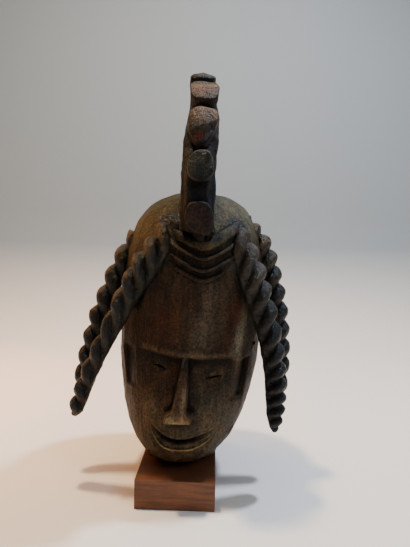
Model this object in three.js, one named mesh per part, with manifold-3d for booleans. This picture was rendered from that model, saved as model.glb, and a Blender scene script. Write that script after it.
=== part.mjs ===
// Helmet mask: a hollow carved head with a lobed crest and four hanging braids, on a wood block.
// Millimetres, +Z up, the face looks along -Y. The origin is the centre of the block's underside.
// The face and head are first laid out in a straight frame, as if the carver had worked to a
// plumb line: side (to the viewer's right of the middle), depth and height. bend() then
// gives every point the lean and the slow turn that the hand-carved piece really has.

import * as THREE from "three";
import { ParametricGeometry } from "three/addons/geometries/ParametricGeometry.js";
import { mergeVertices } from "three/addons/utils/BufferGeometryUtils.js";
import Module from "manifold-3d";

const wasm = await Module();
wasm.setup();

// Wood block
const BLOCK_WIDTH = 100;
const BLOCK_DEPTH = 200;
const BLOCK_HEIGHT = 37;
const BLOCK_CHAMFER = 1;
const REST_GAP = 0.3;

// Head: an egg of rounded section around an upright axis
const AXIS_DEPTH = 25;
const CHIN_HEIGHT = 38;
const WIDEST_HEIGHT = 240;
const CROWN_HEIGHT = 403;
const HEAD_HALF_WIDTH = 102;
const HEAD_HALF_DEPTH = 105;
const PROFILE_POWER = 2.45;
const CROWN_POWER = 2.9;
const SECTION_POWER = 2.2;
const CHIN_FORWARD = 60;
const CHIN_FORWARD_POWER = 2.2;
const NAPE_FULLNESS = 0.6;

// Hollow inside the head
const WALL = 15;
const HOLLOW_TOP = CROWN_HEIGHT - 17;
const HOLLOW_BOTTOM = 50;
const HOLLOW_CHIN_FORWARD = 45;

// Neck, a short collar that stands on the block
const NECK_FOOT = BLOCK_HEIGHT + REST_GAP;
const NECK_TOP = 118;
const NECK_FRONT = -43;
const NECK_BACK = 98;
const NECK_HALF_WIDTH_FRONT = 50.5;
const NECK_HALF_WIDTH_BACK = 58;
const NECK_WALL = 12;
const NECK_POWER = 4;

// Levels where the head is parted into stretches
const CHIN_CUT = 122;
const CROWN_CUT = 276;
const CREST_TOP_LIMIT = 600;

// Lean and turn of the whole carving
const LEAN = 17;
const LEAN_RISE = 190;
const HAIR_TURN = THREE.MathUtils.degToRad(8.5);
const CREST_TURN = THREE.MathUtils.degToRad(4);
const TURN_START = 185;
const TURN_FULL = 290;
const TURN_EASE_START = 320;
const TURN_EASE_END = 362;

// Face
const BROW_HEIGHT = 183;
const BROW_HALF_SPAN = 66;
const BROW_RISE = 0.1;
const BROW_TILT = 0.1;
const SOCKET_DEPTH = 8;
const SOCKET_HEIGHT = 56;
const EYES = [
  { side: -34, height: 172.5, length: 21, slope: -0.3 },
  { side: 38, height: 160.2, length: 22, slope: 0.17 },
];
const EYE_OPENING = 3;
const NOSE_TOP = 188;
const NOSE_BASE = 111;
const NOSE_FLARE_HEIGHT = 14;
const NOSE_RIDGE_TOP = 7;
const NOSE_RIDGE_LOW = 17;
const NOSE_FLARE_WIDTH = 31;
const NOSE_PROUD = 21;
const NOSE_SLANT = 0.044;
const MOUTH_SIDE = 1;
const MOUTH_HALF_SPAN = 40;
const MOUTH_TOP = 83.3;
const MOUTH_TOP_RISE = 18;
const MOUTH_TOP_POWER = 2;
const MOUTH_FOOT = 69.8;
const MOUTH_FOOT_RISE = 30;
const MOUTH_FOOT_POWER = 3.2;
const MOUTH_DEPTH = 8;
const EAR_SIDE = 73;
const EAR_SPREAD = 7;
const EAR_HEIGHT = 161;
const EAR_LENGTH = 51;
const EAR_WIDTH = 17;
const EAR_DEPTH_FRONT = 2;
const LEFT_EAR_DEPTH = 3;
const RIGHT_EAR_DEPTH = 7;
const EAR_SHIFT = 1.5;
const EAR_TILT = 0.1;

// Holes for cords near the rim and one at the temple
const WALL_HOLES = [
  { side: 89.5, height: 196, width: 5, rise: 6, slant: 0 },
  { side: -42.3, height: 57.8, width: 9, rise: 3.5, slant: -0.3 },
  { side: 65.5, height: 84.2, width: 6, rise: 4.5, slant: 1.4 },
];

// Hairline: festoons that hang between the roots of the front braids, the lowest one first
const FESTOONS = [
  { height: 283, from: -34, to: 28, width: 6, proud: 2.5 },
  { height: 295, from: -42, to: 42, width: 6, proud: 5 },
  { height: 310, from: -42, to: 42, width: 6, proud: 5 },
  { height: 327, from: -32, to: 54, width: 15, proud: 6 },
];
const FESTOON_SIDE = 1;
const FESTOON_ROUND = 7;
const FESTOON_SAG_SPAN = 44;
const FESTOON_SAG = 26;
const FESTOON_POWER = 1.15;

// Crest: a fin whose edge is a stretched half circle set with lobes
const CREST_CENTRE_DEPTH = -2;
const CREST_CENTRE_HEIGHT = 380;
const CREST_REACH = 89;
const CREST_RISE = 168;
const CREST_FOOT_HEIGHT = 318;
const CREST_OFFSET_LOW = -1.5;
const CREST_OFFSET_TOP = 4;
const CREST_SWAY_START = 405;
const CREST_SWAY_END = 515;
const FIN_THICKNESS = 30;
const FIN_BEVEL = 7;
const FIN_THINNING = 0.3;
const FIN_THINNING_START = 475;
const FIN_THINNING_END = 540;
const WEDGE_FOOT = 321;
const WEDGE_TOP = 357;
const WEDGE_SIDE = -2;
const WEDGE_HALF_WIDTH = 14;
const WEDGE_PROUD = 13;
const LOBE_PROUD = 12;
const LOBE_SUNK = 14;
const FRONT_LOBES = [
  { degrees: -7, length: 40, width: 34, side: 2 },
  { degrees: 14, length: 39, width: 33, side: 1 },
  { degrees: 31.5, length: 53, width: 39, taper: 0.25, corner: 0.68 },
  { degrees: 54, length: 37, width: 38, taper: 0.12, corner: 0.55 },
  { degrees: 76, length: 34, width: 35, side: -1.5, dome: 5 },
];
const BACK_LOBES = { count: 5, firstDegrees: 97, stepDegrees: 19.5, length: 36, width: 34 };

// Braids: three strands twisted together, hanging clear of the cheeks. Each one's radii, and the
// pitches at which its strands come round, are given at equal steps from root to tip.
const STRANDS = 3;
const STRAND_OFFSET = 0.46;
const STRAND_RADIUS = 0.54;
const BRAID_SIDES = 9;
const BRAID_STEPS = 36;
const BRAID_INNER_RADIUS = 0.95;
const BRAID_INNER_SMOOTHING = 0.85;

const BRAIDS = [
  {
    name: "left_front_braid",
    handed: 1,
    phase: 18,
    tipShare: 0.08,
    radii: [19, 19.5, 14.5, 12.5, 11.5],
    pitches: [26, 25, 39, 31, 20],
    route: [
      [-12, -50, 350], [-33, -66, 319], [-62, -66, 272],
      [-92.5, -57, 214], [-119, -52, 160], [-143, -48, 94],
    ],
  },
  {
    name: "left_rear_braid",
    handed: 1,
    phase: 48,
    tipShare: 0.08,
    radii: [15, 15.5, 14.5, 12.5, 9.5],
    pitches: [32, 32, 31, 28, 26],
    route: [
      [-67, 4, 342], [-84, 2, 315], [-105, 0, 270],
      [-126, -2, 212], [-140, -6, 162], [-149, -12, 108],
    ],
  },
  {
    name: "right_front_braid",
    handed: -1,
    phase: 31,
    tipShare: 0.16,
    radii: [18, 20, 17, 15, 13],
    pitches: [28, 25, 29, 19, 13],
    route: [
      [66, -40, 345], [82, -54, 316], [100, -60, 266],
      [118, -57, 205], [126, -55, 148], [127, -54, 83],
    ],
  },
  {
    name: "right_rear_braid",
    handed: -1,
    phase: -8,
    tipShare: 0.08,
    radii: [15, 15.5, 14.5, 12.5, 9.5],
    pitches: [20, 24, 27, 25, 26],
    route: [
      [82, 10, 364], [110, 5, 330], [127, 3, 278],
      [138.5, 0, 214], [142, -4, 160], [139, -8, 108],
    ],
  },
];

// Numbers and curves

function signedPower(value, power) {
  return Math.sign(value) * Math.abs(value) ** power;
}

function smoothStep(value, from, to) {
  return THREE.MathUtils.smoothstep(value, from, to);
}

function leanAt(height) {
  return LEAN * (1 - Math.exp((CHIN_HEIGHT - height) / LEAN_RISE));
}

function turnAt(height) {
  const turned = HAIR_TURN * smoothStep(height, TURN_START, TURN_FULL);
  const eased = (HAIR_TURN - CREST_TURN) * smoothStep(height, TURN_EASE_START, TURN_EASE_END);
  return turned - eased;
}

// Turns a point of the straight layout about the head's axis and leans it to the side.
function bend(side, depth, height, target = new THREE.Vector3()) {
  const turn = turnAt(height);
  const reach = depth - AXIS_DEPTH;
  return target.set(
    leanAt(height) + side * Math.cos(turn) - reach * Math.sin(turn),
    AXIS_DEPTH + side * Math.sin(turn) + reach * Math.cos(turn),
    height,
  );
}

// How far a height is from the widest level, as a share of the way to the chin or the crown.
// The share is negative towards the chin.
function levelShare(height, bottom, top) {
  return height < WIDEST_HEIGHT
    ? (height - WIDEST_HEIGHT) / (WIDEST_HEIGHT - bottom)
    : (height - WIDEST_HEIGHT) / (top - WIDEST_HEIGHT);
}

function powerAt(share) {
  return share < 0 ? PROFILE_POWER : CROWN_POWER;
}

function roundAt(share) {
  return Math.max(0, 1 - Math.abs(share) ** powerAt(share)) ** (1 / powerAt(share));
}

function centreDepthAt(share, forward) {
  return share < 0 ? AXIS_DEPTH - forward * Math.abs(share) ** CHIN_FORWARD_POWER : AXIS_DEPTH;
}

// A point off the front or side of the head: side and height on it, and out from it.
function onHead(side, height, out, target) {
  const share = levelShare(height, CHIN_HEIGHT, CROWN_HEIGHT);
  const halfWidth = HEAD_HALF_WIDTH * roundAt(share);
  const halfDepth = HEAD_HALF_DEPTH * roundAt(share);
  const across = THREE.MathUtils.clamp(side / halfWidth, -0.98, 0.98);
  const forward = (1 - Math.abs(across) ** SECTION_POWER) ** (1 / SECTION_POWER);
  const slopeSide = signedPower(across, SECTION_POWER - 1) / halfWidth;
  const slopeDepth = forward ** (SECTION_POWER - 1) / halfDepth;
  const slope = Math.hypot(slopeSide, slopeDepth);
  const depth = centreDepthAt(share, CHIN_FORWARD) - halfDepth * forward;
  return bend(
    side + (out * slopeSide) / slope,
    depth - (out * slopeDepth) / slope,
    height,
    target,
  );
}

// Solids

function signedVolume(position, index) {
  const a = new THREE.Vector3();
  const b = new THREE.Vector3();
  const c = new THREE.Vector3();
  let total = 0;
  for (let i = 0; i < index.length; i += 3) {
    a.fromBufferAttribute(position, index[i]);
    b.fromBufferAttribute(position, index[i + 1]);
    c.fromBufferAttribute(position, index[i + 2]);
    total += a.dot(b.cross(c));
  }
  return total / 6;
}

// Welds a closed geometry, drops the flat triangles at its poles and turns its faces outward.
function solidOf(geometry) {
  geometry.deleteAttribute("normal");
  geometry.deleteAttribute("uv");
  const welded = mergeVertices(geometry, 1e-3);
  const index = [];
  for (let i = 0; i < welded.index.count; i += 3) {
    const [a, b, c] = [0, 1, 2].map((k) => welded.index.getX(i + k));
    if (a !== b && b !== c && c !== a) {
      index.push(a, b, c);
    }
  }
  if (signedVolume(welded.attributes.position, index) < 0) {
    index.reverse();
  }
  return new wasm.Manifold(new wasm.Mesh({
    numProp: 3,
    vertProperties: new Float32Array(welded.attributes.position.array),
    triVerts: new Uint32Array(index),
  }));
}

function joinAll(solids) {
  return solids.reduce((whole, solid) => whole.add(solid));
}

function geometryOf(solid) {
  const mesh = solid.getMesh();
  const geometry = new THREE.BufferGeometry();
  geometry.setAttribute("position", new THREE.BufferAttribute(mesh.vertProperties, 3));
  geometry.setIndex(new THREE.BufferAttribute(mesh.triVerts, 1));
  geometry.computeVertexNormals();
  return geometry;
}

// A unit box cut into cells, whose three shares from 0 to 1 are carried to a shape by place().
function shapedBox(cellsAlong, cellsAcross, place) {
  const geometry = new THREE.BoxGeometry(1, 1, 1, cellsAlong, 1, cellsAcross);
  const position = geometry.attributes.position;
  const point = new THREE.Vector3();
  for (let i = 0; i < position.count; i += 1) {
    place(position.getX(i) + 0.5, position.getZ(i) + 0.5, position.getY(i) + 0.5, point);
    position.setXYZ(i, point.x, point.y, point.z);
  }
  return solidOf(geometry);
}

// Egg of the head or of its hollow: longitude around it, latitude from its foot to its top.
// Below the widest level the back stays fuller than the front, down to the nape.
function egg(halfWidth, halfDepth, bottom, top, forward, around, rows) {
  const place = (u, v, target) => {
    const longitude = 2 * Math.PI * u;
    const latitude = Math.PI * (v - 0.5);
    const power = powerAt(latitude);
    const share = signedPower(Math.sin(latitude), 2 / power);
    const round = Math.abs(Math.cos(latitude)) ** (2 / power);
    const half = share < 0 ? WIDEST_HEIGHT - bottom : top - WIDEST_HEIGHT;
    const centre = centreDepthAt(share, forward);
    const toFront = signedPower(Math.cos(longitude), 2 / SECTION_POWER);
    const nape = AXIS_DEPTH + halfDepth - centre;
    const reach = toFront < 0 && share < 0 ? nape * round ** NAPE_FULLNESS : halfDepth * round;
    bend(
      halfWidth * round * signedPower(Math.sin(longitude), 2 / SECTION_POWER),
      centre - reach * toFront,
      WIDEST_HEIGHT + half * share,
      target,
    );
  };
  return solidOf(new ParametricGeometry(place, around, rows));
}

// Upright collar or bore of the neck, narrower in front than behind.
function neckPrism(inset, foot, top) {
  const halfDepth = (NECK_BACK - NECK_FRONT) / 2 - inset;
  const middle = (NECK_BACK + NECK_FRONT) / 2;
  const corners = 28;
  const outline = [];
  for (let i = 0; i < corners; i += 1) {
    const angle = (2 * Math.PI * i) / corners;
    const along = signedPower(Math.sin(angle), 2 / NECK_POWER);
    const width = THREE.MathUtils.lerp(
      NECK_HALF_WIDTH_FRONT,
      NECK_HALF_WIDTH_BACK,
      (along + 1) / 2,
    );
    outline.push(new THREE.Vector2(
      (width - inset) * signedPower(Math.cos(angle), 2 / NECK_POWER),
      middle + halfDepth * along,
    ));
  }
  const prism = new THREE.ExtrudeGeometry(new THREE.Shape(outline), {
    depth: top - foot,
    bevelEnabled: false,
  });
  prism.translate(0, 0, foot);
  return solidOf(prism);
}

// Face

function browLine(side) {
  return BROW_HEIGHT + BROW_RISE * Math.abs(side) - BROW_TILT * side;
}

// The plane under the brow: cut back sharply at the top and running out on the cheek.
function eyePlaneCut() {
  return shapedBox(14, 5, (along, down, out, target) => {
    const side = THREE.MathUtils.lerp(-BROW_HALF_SPAN, BROW_HALF_SPAN, along);
    const fade = 1 - Math.abs(side / BROW_HALF_SPAN) ** 3;
    const depth = SOCKET_DEPTH * (1 - down) ** 0.8 * fade;
    const height = browLine(side) - down * SOCKET_HEIGHT;
    return onHead(side, height, out * 12 - depth * (1 - out), target);
  });
}

function eyeSlit({ side, height, length, slope }) {
  return shapedBox(4, 1, (along, up, out, target) => {
    const reach = (along - 0.5) * length;
    const opening = EYE_OPENING * (1.1 - (2 * along - 1) ** 2);
    const level = height + slope * reach + (up - 0.5) * opening;
    return onHead(side + reach, level, THREE.MathUtils.lerp(-34, 6, out), target);
  });
}

// Long wedge with a flat ridge that flares into a level end.
function nose() {
  return shapedBox(2, 8, (across, up, out, target) => {
    const height = THREE.MathUtils.lerp(NOSE_BASE, NOSE_TOP, up);
    const down = 1 - up;
    const flare = 1 - smoothStep(height - NOSE_BASE, NOSE_FLARE_HEIGHT * 0.4, NOSE_FLARE_HEIGHT);
    const ridge = THREE.MathUtils.lerp(NOSE_RIDGE_TOP, NOSE_RIDGE_LOW, down);
    const width = ridge + (NOSE_FLARE_WIDTH - NOSE_RIDGE_LOW) * flare;
    const foot = width + 9 * down + 4;
    const proud = 1 + (NOSE_PROUD - 1) * down ** 0.9;
    const breadth = THREE.MathUtils.lerp(foot, width * 0.86, out);
    const side = (across - 0.5) * breadth - NOSE_SLANT * (NOSE_TOP - height);
    return onHead(side, height, THREE.MathUtils.lerp(-12, proud, out), target);
  });
}

// A crescent between the lips, undercut at its top and running out on the lower lip.
function mouthCut() {
  return shapedBox(12, 2, (along, up, out, target) => {
    const share = 2 * along - 1;
    const top = MOUTH_TOP + MOUTH_TOP_RISE * Math.abs(share) ** MOUTH_TOP_POWER;
    const foot = MOUTH_FOOT + MOUTH_FOOT_RISE * Math.abs(share) ** MOUTH_FOOT_POWER;
    const depth = MOUTH_DEPTH * (1.05 - share * share) * (0.15 + 0.85 * smoothStep(up, 0.2, 0.6));
    const height = THREE.MathUtils.lerp(foot, top, up);
    const side = MOUTH_SIDE + MOUTH_HALF_SPAN * share;
    return onHead(side, height, out * 12 - depth * (1 - out), target);
  });
}

// A slanting recess at the temple, deeper to the rear.
function earCut(hand) {
  return shapedBox(2, 5, (rearward, up, out, target) => {
    const rise = up - 0.5;
    const reach = EAR_SIDE + EAR_SPREAD * rise + (rearward - 0.5) * EAR_WIDTH;
    const height = EAR_HEIGHT - EAR_TILT * hand * EAR_SIDE + rise * EAR_LENGTH;
    const deepest = hand < 0 ? LEFT_EAR_DEPTH : RIGHT_EAR_DEPTH;
    const depth = THREE.MathUtils.lerp(EAR_DEPTH_FRONT, deepest, rearward);
    return onHead(hand * reach - EAR_SHIFT, height, THREE.MathUtils.lerp(-depth, 12, out), target);
  });
}

// One festoon of the hairline: a ridge with a blunt V at the middle, made larger by a margin.
function festoon({ height, from, to, width, proud }, margin = 0) {
  return shapedBox(10, 2, (along, up, out, target) => {
    const side = THREE.MathUtils.lerp(from - margin, to + margin, along);
    const reached = Math.hypot(side - FESTOON_SIDE, FESTOON_ROUND) - FESTOON_ROUND;
    const middle = height + FESTOON_SAG * (reached / FESTOON_SAG_SPAN) ** FESTOON_POWER;
    const ridge = 1 - (2 * up - 1) ** 2;
    const rise = (up - 0.5) * (width * (1 - 0.35 * out) + 2 * margin);
    const reach = margin + proud * (0.35 + 0.65 * ridge);
    return onHead(side, middle + rise, THREE.MathUtils.lerp(-8, reach, out), target);
  });
}

// A drilled hole or chiselled slot through the wall, on a slant where it follows the jaw.
function wallHole({ side, height, width, rise, slant }) {
  return shapedBox(1, 1, (across, up, out, target) => onHead(
    side + (across - 0.5) * width,
    height + (up - 0.5) * rise + slant * (across - 0.5) * width,
    THREE.MathUtils.lerp(-40, 8, out),
    target,
  ));
}

// Crest

function crestEdge(angle, out) {
  return new THREE.Vector2(
    CREST_CENTRE_DEPTH - (CREST_REACH + out) * Math.cos(angle),
    CREST_CENTRE_HEIGHT + (CREST_RISE + out) * Math.sin(angle),
  );
}

// Sets a solid made around the middle plane into the turned and leaning crest.
function standInCrest(geometry) {
  const position = geometry.attributes.position;
  const point = new THREE.Vector3();
  for (let i = 0; i < position.count; i += 1) {
    const sway = smoothStep(position.getZ(i), CREST_SWAY_START, CREST_SWAY_END);
    const offset = THREE.MathUtils.lerp(CREST_OFFSET_LOW, CREST_OFFSET_TOP, sway);
    bend(position.getX(i) + offset, position.getY(i), position.getZ(i), point);
    position.setXYZ(i, point.x, point.y, point.z);
  }
  return solidOf(geometry);
}

// The fin's flanks draw in towards the top of the crest.
function thinToTop(geometry) {
  const position = geometry.attributes.position;
  for (let i = 0; i < position.count; i += 1) {
    const thinning = smoothStep(position.getZ(i), FIN_THINNING_START, FIN_THINNING_END);
    position.setX(i, position.getX(i) * (1 - FIN_THINNING * thinning));
  }
}

function crestFin() {
  const steps = 22;
  const outline = [];
  for (let i = 0; i <= steps; i += 1) {
    outline.push(crestEdge((Math.PI * i) / steps, -FIN_BEVEL));
  }
  outline.push(new THREE.Vector2(CREST_REACH / 2, CREST_FOOT_HEIGHT));
  outline.push(new THREE.Vector2(-CREST_REACH / 2, CREST_FOOT_HEIGHT - 20));
  const flat = new THREE.ExtrudeGeometry(new THREE.Shape(outline), {
    depth: FIN_THICKNESS,
    bevelSize: FIN_BEVEL,
    bevelThickness: FIN_BEVEL,
    bevelSegments: 2,
  });
  // The drawing's first axis is depth and its second is height; it is extruded to the side.
  flat.translate(0, 0, -FIN_THICKNESS / 2);
  flat.applyMatrix4(new THREE.Matrix4().makeBasis(
    new THREE.Vector3(0, 1, 0),
    new THREE.Vector3(0, 0, 1),
    new THREE.Vector3(1, 0, 0),
  ));
  thinToTop(flat);
  return standInCrest(flat);
}

// The fin's foot runs out on the head in a wedge that narrows to a point between the festoons.
function crestWedge() {
  return shapedBox(2, 4, (across, up, out, target) => {
    const height = THREE.MathUtils.lerp(WEDGE_FOOT, WEDGE_TOP, up);
    const halfWidth = THREE.MathUtils.lerp(1, WEDGE_HALF_WIDTH, up);
    const proud = THREE.MathUtils.lerp(2, WEDGE_PROUD, up);
    const side = WEDGE_SIDE + (2 * across - 1) * halfWidth;
    return onHead(side, height, THREE.MathUtils.lerp(-8, proud, out), target);
  });
}

// One lobe: an oval pad whose nearly flat face looks out from the fin's edge. A tapered one
// is narrower at its lower end, and a domed one rises to its middle.
function crestLobe({ degrees, length, width, taper = 0, side = 0, corner = 0.8, dome = 1 }) {
  const angle = THREE.MathUtils.degToRad(degrees);
  const middle = crestEdge(angle, 0);
  const along = crestEdge(angle + 0.01, 0).sub(crestEdge(angle - 0.01, 0)).normalize();
  const rings = [
    { size: 0, out: -LOBE_SUNK },
    { size: 0.9, out: -LOBE_SUNK },
    { size: 1, out: LOBE_PROUD * 0.5 },
    { size: 0.86, out: LOBE_PROUD + 0.3 * (dome - 1) - 0.6 },
    { size: 0, out: LOBE_PROUD + dome - 1 },
  ];
  const pad = new ParametricGeometry((u, v, target) => {
    const turn = 2 * Math.PI * u;
    const { size, out } = rings[Math.round(v * (rings.length - 1))];
    const rise = size * signedPower(Math.sin(turn), corner);
    const lift = 0.5 * length * rise;
    target.set(
      side + 0.5 * width * size * (1 + taper * (rise - 0.4)) * signedPower(Math.cos(turn), corner),
      middle.x + along.x * lift - along.y * out,
      middle.y + along.y * lift + along.x * out,
    );
  }, 12, rings.length - 1);
  return standInCrest(pad);
}

function crestLobes() {
  const { count, firstDegrees, stepDegrees, length, width } = BACK_LOBES;
  const back = [...Array(count).keys()].map((row) => ({
    degrees: firstDegrees + row * stepDegrees,
    length,
    width,
    dome: 3,
  }));
  return [...FRONT_LOBES, ...back].map(crestLobe);
}

// Braids

// Radius of a three-strand rope at an angle: the strand nearest to it bulges like a circle.
function ropeRadius(angle) {
  const half = Math.PI / STRANDS;
  const offStrand = THREE.MathUtils.euclideanModulo(angle + half, 2 * half) - half;
  const cosine = STRAND_OFFSET * Math.cos(offStrand);
  return cosine + Math.sqrt(STRAND_RADIUS ** 2 - (STRAND_OFFSET * Math.sin(offStrand)) ** 2);
}

// A value given at equal steps of a braid's length, read off at any share of it.
function valueAt(values, share) {
  const place = share * (values.length - 1);
  const row = Math.min(Math.floor(place), values.length - 2);
  return THREE.MathUtils.lerp(values[row], values[row + 1], place - row);
}

// Turn of the strands down to a share of the length: a third of a turn for each pitch passed.
function strandTurn(pitches, share, length) {
  const slices = 60;
  let passed = 0;
  for (let i = 0; i < slices; i += 1) {
    passed += (share * length) / slices / valueAt(pitches, (share * (i + 0.5)) / slices);
  }
  return ((2 * Math.PI) / STRANDS) * passed;
}

function thicknessAt(radii, tipShare, share) {
  const end = Math.max(0, (share - (1 - tipShare)) / tipShare);
  return share === 0 ? 0 : valueAt(radii, share) * Math.sqrt(Math.max(0, 1 - end * end));
}

// A braid swept along its route, made thicker by a margin. Its strands fade on the inner side,
// which faces the head.
function braid({ handed, phase, tipShare, radii, pitches, route }, margin = 0) {
  const curve = new THREE.CatmullRomCurve3(route.map((point) => new THREE.Vector3(...point)));
  const length = curve.getLength();
  const along = new THREE.Vector3();
  const across = new THREE.Vector3();
  const front = new THREE.Vector3();
  const place = (u, v, target) => {
    const angle = handed * 2 * Math.PI * u;
    const turn = THREE.MathUtils.degToRad(phase) + handed * strandTurn(pitches, v, length);
    const inner = smoothStep(handed * Math.cos(angle + turn), 0.3, 0.9);
    const share = BRAID_INNER_SMOOTHING * inner;
    const relief = THREE.MathUtils.lerp(ropeRadius(angle), BRAID_INNER_RADIUS, share);
    const thickness = thicknessAt(radii, tipShare, v);
    const radius = thickness * relief + Math.min(thickness, margin);
    curve.getTangentAt(v, along);
    across.crossVectors(along, new THREE.Vector3(0, 1, 0)).normalize();
    front.crossVectors(across, along);
    curve.getPointAt(v, target);
    target.addScaledVector(across, radius * Math.cos(angle + turn));
    target.addScaledVector(front, radius * Math.sin(angle + turn));
  };
  return solidOf(new ParametricGeometry(place, BRAID_SIDES, BRAID_STEPS));
}

// Pieces

// The head with its neck and face, hollow and open below.
function faceAndHead() {
  const body = joinAll([
    egg(HEAD_HALF_WIDTH, HEAD_HALF_DEPTH, CHIN_HEIGHT, CROWN_HEIGHT, CHIN_FORWARD, 34, 23),
    neckPrism(0, NECK_FOOT, NECK_TOP),
  ]);
  const carved = joinAll([
    body.subtract(eyePlaneCut()).subtract(earCut(-1)).subtract(earCut(1)),
    nose(),
    ...FESTOONS.map((row) => festoon(row)),
  ]);
  const hollow = joinAll([
    egg(
      HEAD_HALF_WIDTH - WALL,
      HEAD_HALF_DEPTH - WALL,
      HOLLOW_BOTTOM,
      HOLLOW_TOP,
      HOLLOW_CHIN_FORWARD,
      16,
      12,
    ),
    neckPrism(NECK_WALL, NECK_FOOT - 10, NECK_TOP + 12),
  ]);
  const openings = joinAll([...EYES.map(eyeSlit), ...WALL_HOLES.map(wallHole)]);
  return carved.subtract(hollow).subtract(mouthCut()).subtract(openings);
}

// The space that the head and its festoons fill, with the gap that the other solids keep.
function headSpace() {
  return joinAll([
    egg(
      HEAD_HALF_WIDTH + REST_GAP,
      HEAD_HALF_DEPTH + REST_GAP,
      CHIN_HEIGHT - REST_GAP,
      CROWN_HEIGHT + REST_GAP,
      CHIN_FORWARD,
      34,
      23,
    ),
    ...FESTOONS.map((row) => festoon(row, REST_GAP)),
  ]);
}

// The stretch of a solid between two levels.
function between(solid, low, high) {
  return solid.trimByPlane([0, 0, 1], low).trimByPlane([0, 0, -1], -high);
}

// The largest of the parts that a cut leaves.
function largest(solid) {
  return solid.decompose().reduce((best, part) => (part.volume() > best.volume() ? part : best));
}

function woodBlock() {
  const edge = BLOCK_CHAMFER;
  const outline = new THREE.Shape();
  outline.moveTo(edge - BLOCK_WIDTH / 2, edge - BLOCK_DEPTH / 2);
  outline.lineTo(BLOCK_WIDTH / 2 - edge, edge - BLOCK_DEPTH / 2);
  outline.lineTo(BLOCK_WIDTH / 2 - edge, BLOCK_DEPTH / 2 - edge);
  outline.lineTo(edge - BLOCK_WIDTH / 2, BLOCK_DEPTH / 2 - edge);
  const block = new THREE.ExtrudeGeometry(outline, {
    depth: BLOCK_HEIGHT - 2 * edge,
    bevelSize: edge,
    bevelThickness: edge,
    bevelSegments: 1,
  });
  block.translate(0, 0, edge);
  return solidOf(block);
}

const darkCarvedWood = new THREE.MeshStandardMaterial({
  color: 0x3b2f26,
  roughness: 0.55,
  metalness: 0,
});
const reddishBlockWood = new THREE.MeshStandardMaterial({
  color: 0x7d4f2c,
  roughness: 0.6,
  metalness: 0,
});

const helmetMask = new THREE.Group();

function addMesh(name, solid, material) {
  const mesh = new THREE.Mesh(geometryOf(solid), material);
  mesh.name = name;
  helmetMask.add(mesh);
}

const taken = headSpace();
const shell = faceAndHead();
addMesh("chin_and_neck", between(shell, 0, CHIN_CUT), darkCarvedWood);
addMesh("mask", between(shell, CHIN_CUT + REST_GAP, CROWN_CUT), darkCarvedWood);
addMesh("crown", between(shell, CROWN_CUT + REST_GAP, CREST_TOP_LIMIT), darkCarvedWood);
for (const sizes of BRAIDS) {
  addMesh(sizes.name, largest(braid(sizes).subtract(taken)), darkCarvedWood);
}
const braidSpace = joinAll(BRAIDS.map((sizes) => braid(sizes, REST_GAP)));
const crest = joinAll([crestFin(), crestWedge(), ...crestLobes()]);
addMesh("crest", largest(crest.subtract(taken).subtract(braidSpace)), darkCarvedWood);
addMesh("wood_block", woodBlock(), reddishBlockWood);

export default helmetMask;
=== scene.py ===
"""A carved helmet mask with a lobed crest and hanging braids, on a wood block.

The frame is in metres, +Z up, and the face looks along -Y. The head, the face and the crest
are worked out in millimetres in a straight layout of side, depth and height, then bent into
the lean and the slow turn of the carving. The neck, the braids and the block are laid out in
millimetres where they stand. All become metres where a mesh is made.
"""

import math

import bpy
import numpy as np
from bpy.props import FloatProperty, FloatVectorProperty, IntProperty, PointerProperty
from mathutils import Matrix, Vector


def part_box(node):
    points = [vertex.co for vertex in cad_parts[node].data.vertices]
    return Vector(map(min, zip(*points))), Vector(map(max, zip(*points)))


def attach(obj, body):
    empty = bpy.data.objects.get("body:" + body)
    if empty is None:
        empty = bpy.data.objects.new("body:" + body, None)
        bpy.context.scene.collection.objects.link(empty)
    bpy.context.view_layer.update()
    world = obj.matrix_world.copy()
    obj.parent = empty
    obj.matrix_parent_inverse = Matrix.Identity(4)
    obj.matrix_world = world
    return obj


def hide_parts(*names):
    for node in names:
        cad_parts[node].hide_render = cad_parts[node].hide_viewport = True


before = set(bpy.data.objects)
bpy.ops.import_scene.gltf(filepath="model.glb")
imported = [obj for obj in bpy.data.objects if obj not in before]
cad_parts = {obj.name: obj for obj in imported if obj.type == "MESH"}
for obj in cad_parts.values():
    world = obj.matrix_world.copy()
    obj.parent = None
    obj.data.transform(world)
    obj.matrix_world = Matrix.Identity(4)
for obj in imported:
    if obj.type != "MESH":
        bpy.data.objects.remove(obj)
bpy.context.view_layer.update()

bl_info = {
    "name": "Carved helmet mask",
    "version": (1, 0, 0),
    "blender": (4, 5, 0),
    "location": "3D View > Sidebar > Helmet Mask",
    "description": "Builds a carved wooden helmet mask with a crest and braids on a wood block",
    "category": "Add Mesh",
}

MM = 0.001
BOX_SOFTNESS = 0.6
CREST_GLOSS = 0.2
WOOD_IOR = 1.5
MASK_SHARP_DEGREES = 42
BLOCK_SHARP_DEGREES = 60

# Head: an egg of rounded section around an upright axis, in millimetres
AXIS_DEPTH = 25
CHIN_HEIGHT = 38
WIDEST_HEIGHT = 240
CROWN_HEIGHT = 403
HEAD_HALF_WIDTH = 102
HEAD_HALF_DEPTH = 105
PROFILE_POWER = 2.45
CROWN_POWER = 2.9
SECTION_POWER = 2.2
CHIN_FORWARD = 60
CHIN_FORWARD_POWER = 2.2
NAPE_FULLNESS = 0.6

HEAD_COLUMNS = 320
HEAD_ROWS = 230
FACE_COLUMN_WEIGHT = 2.2
FINE_STEPS = 2001

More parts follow.
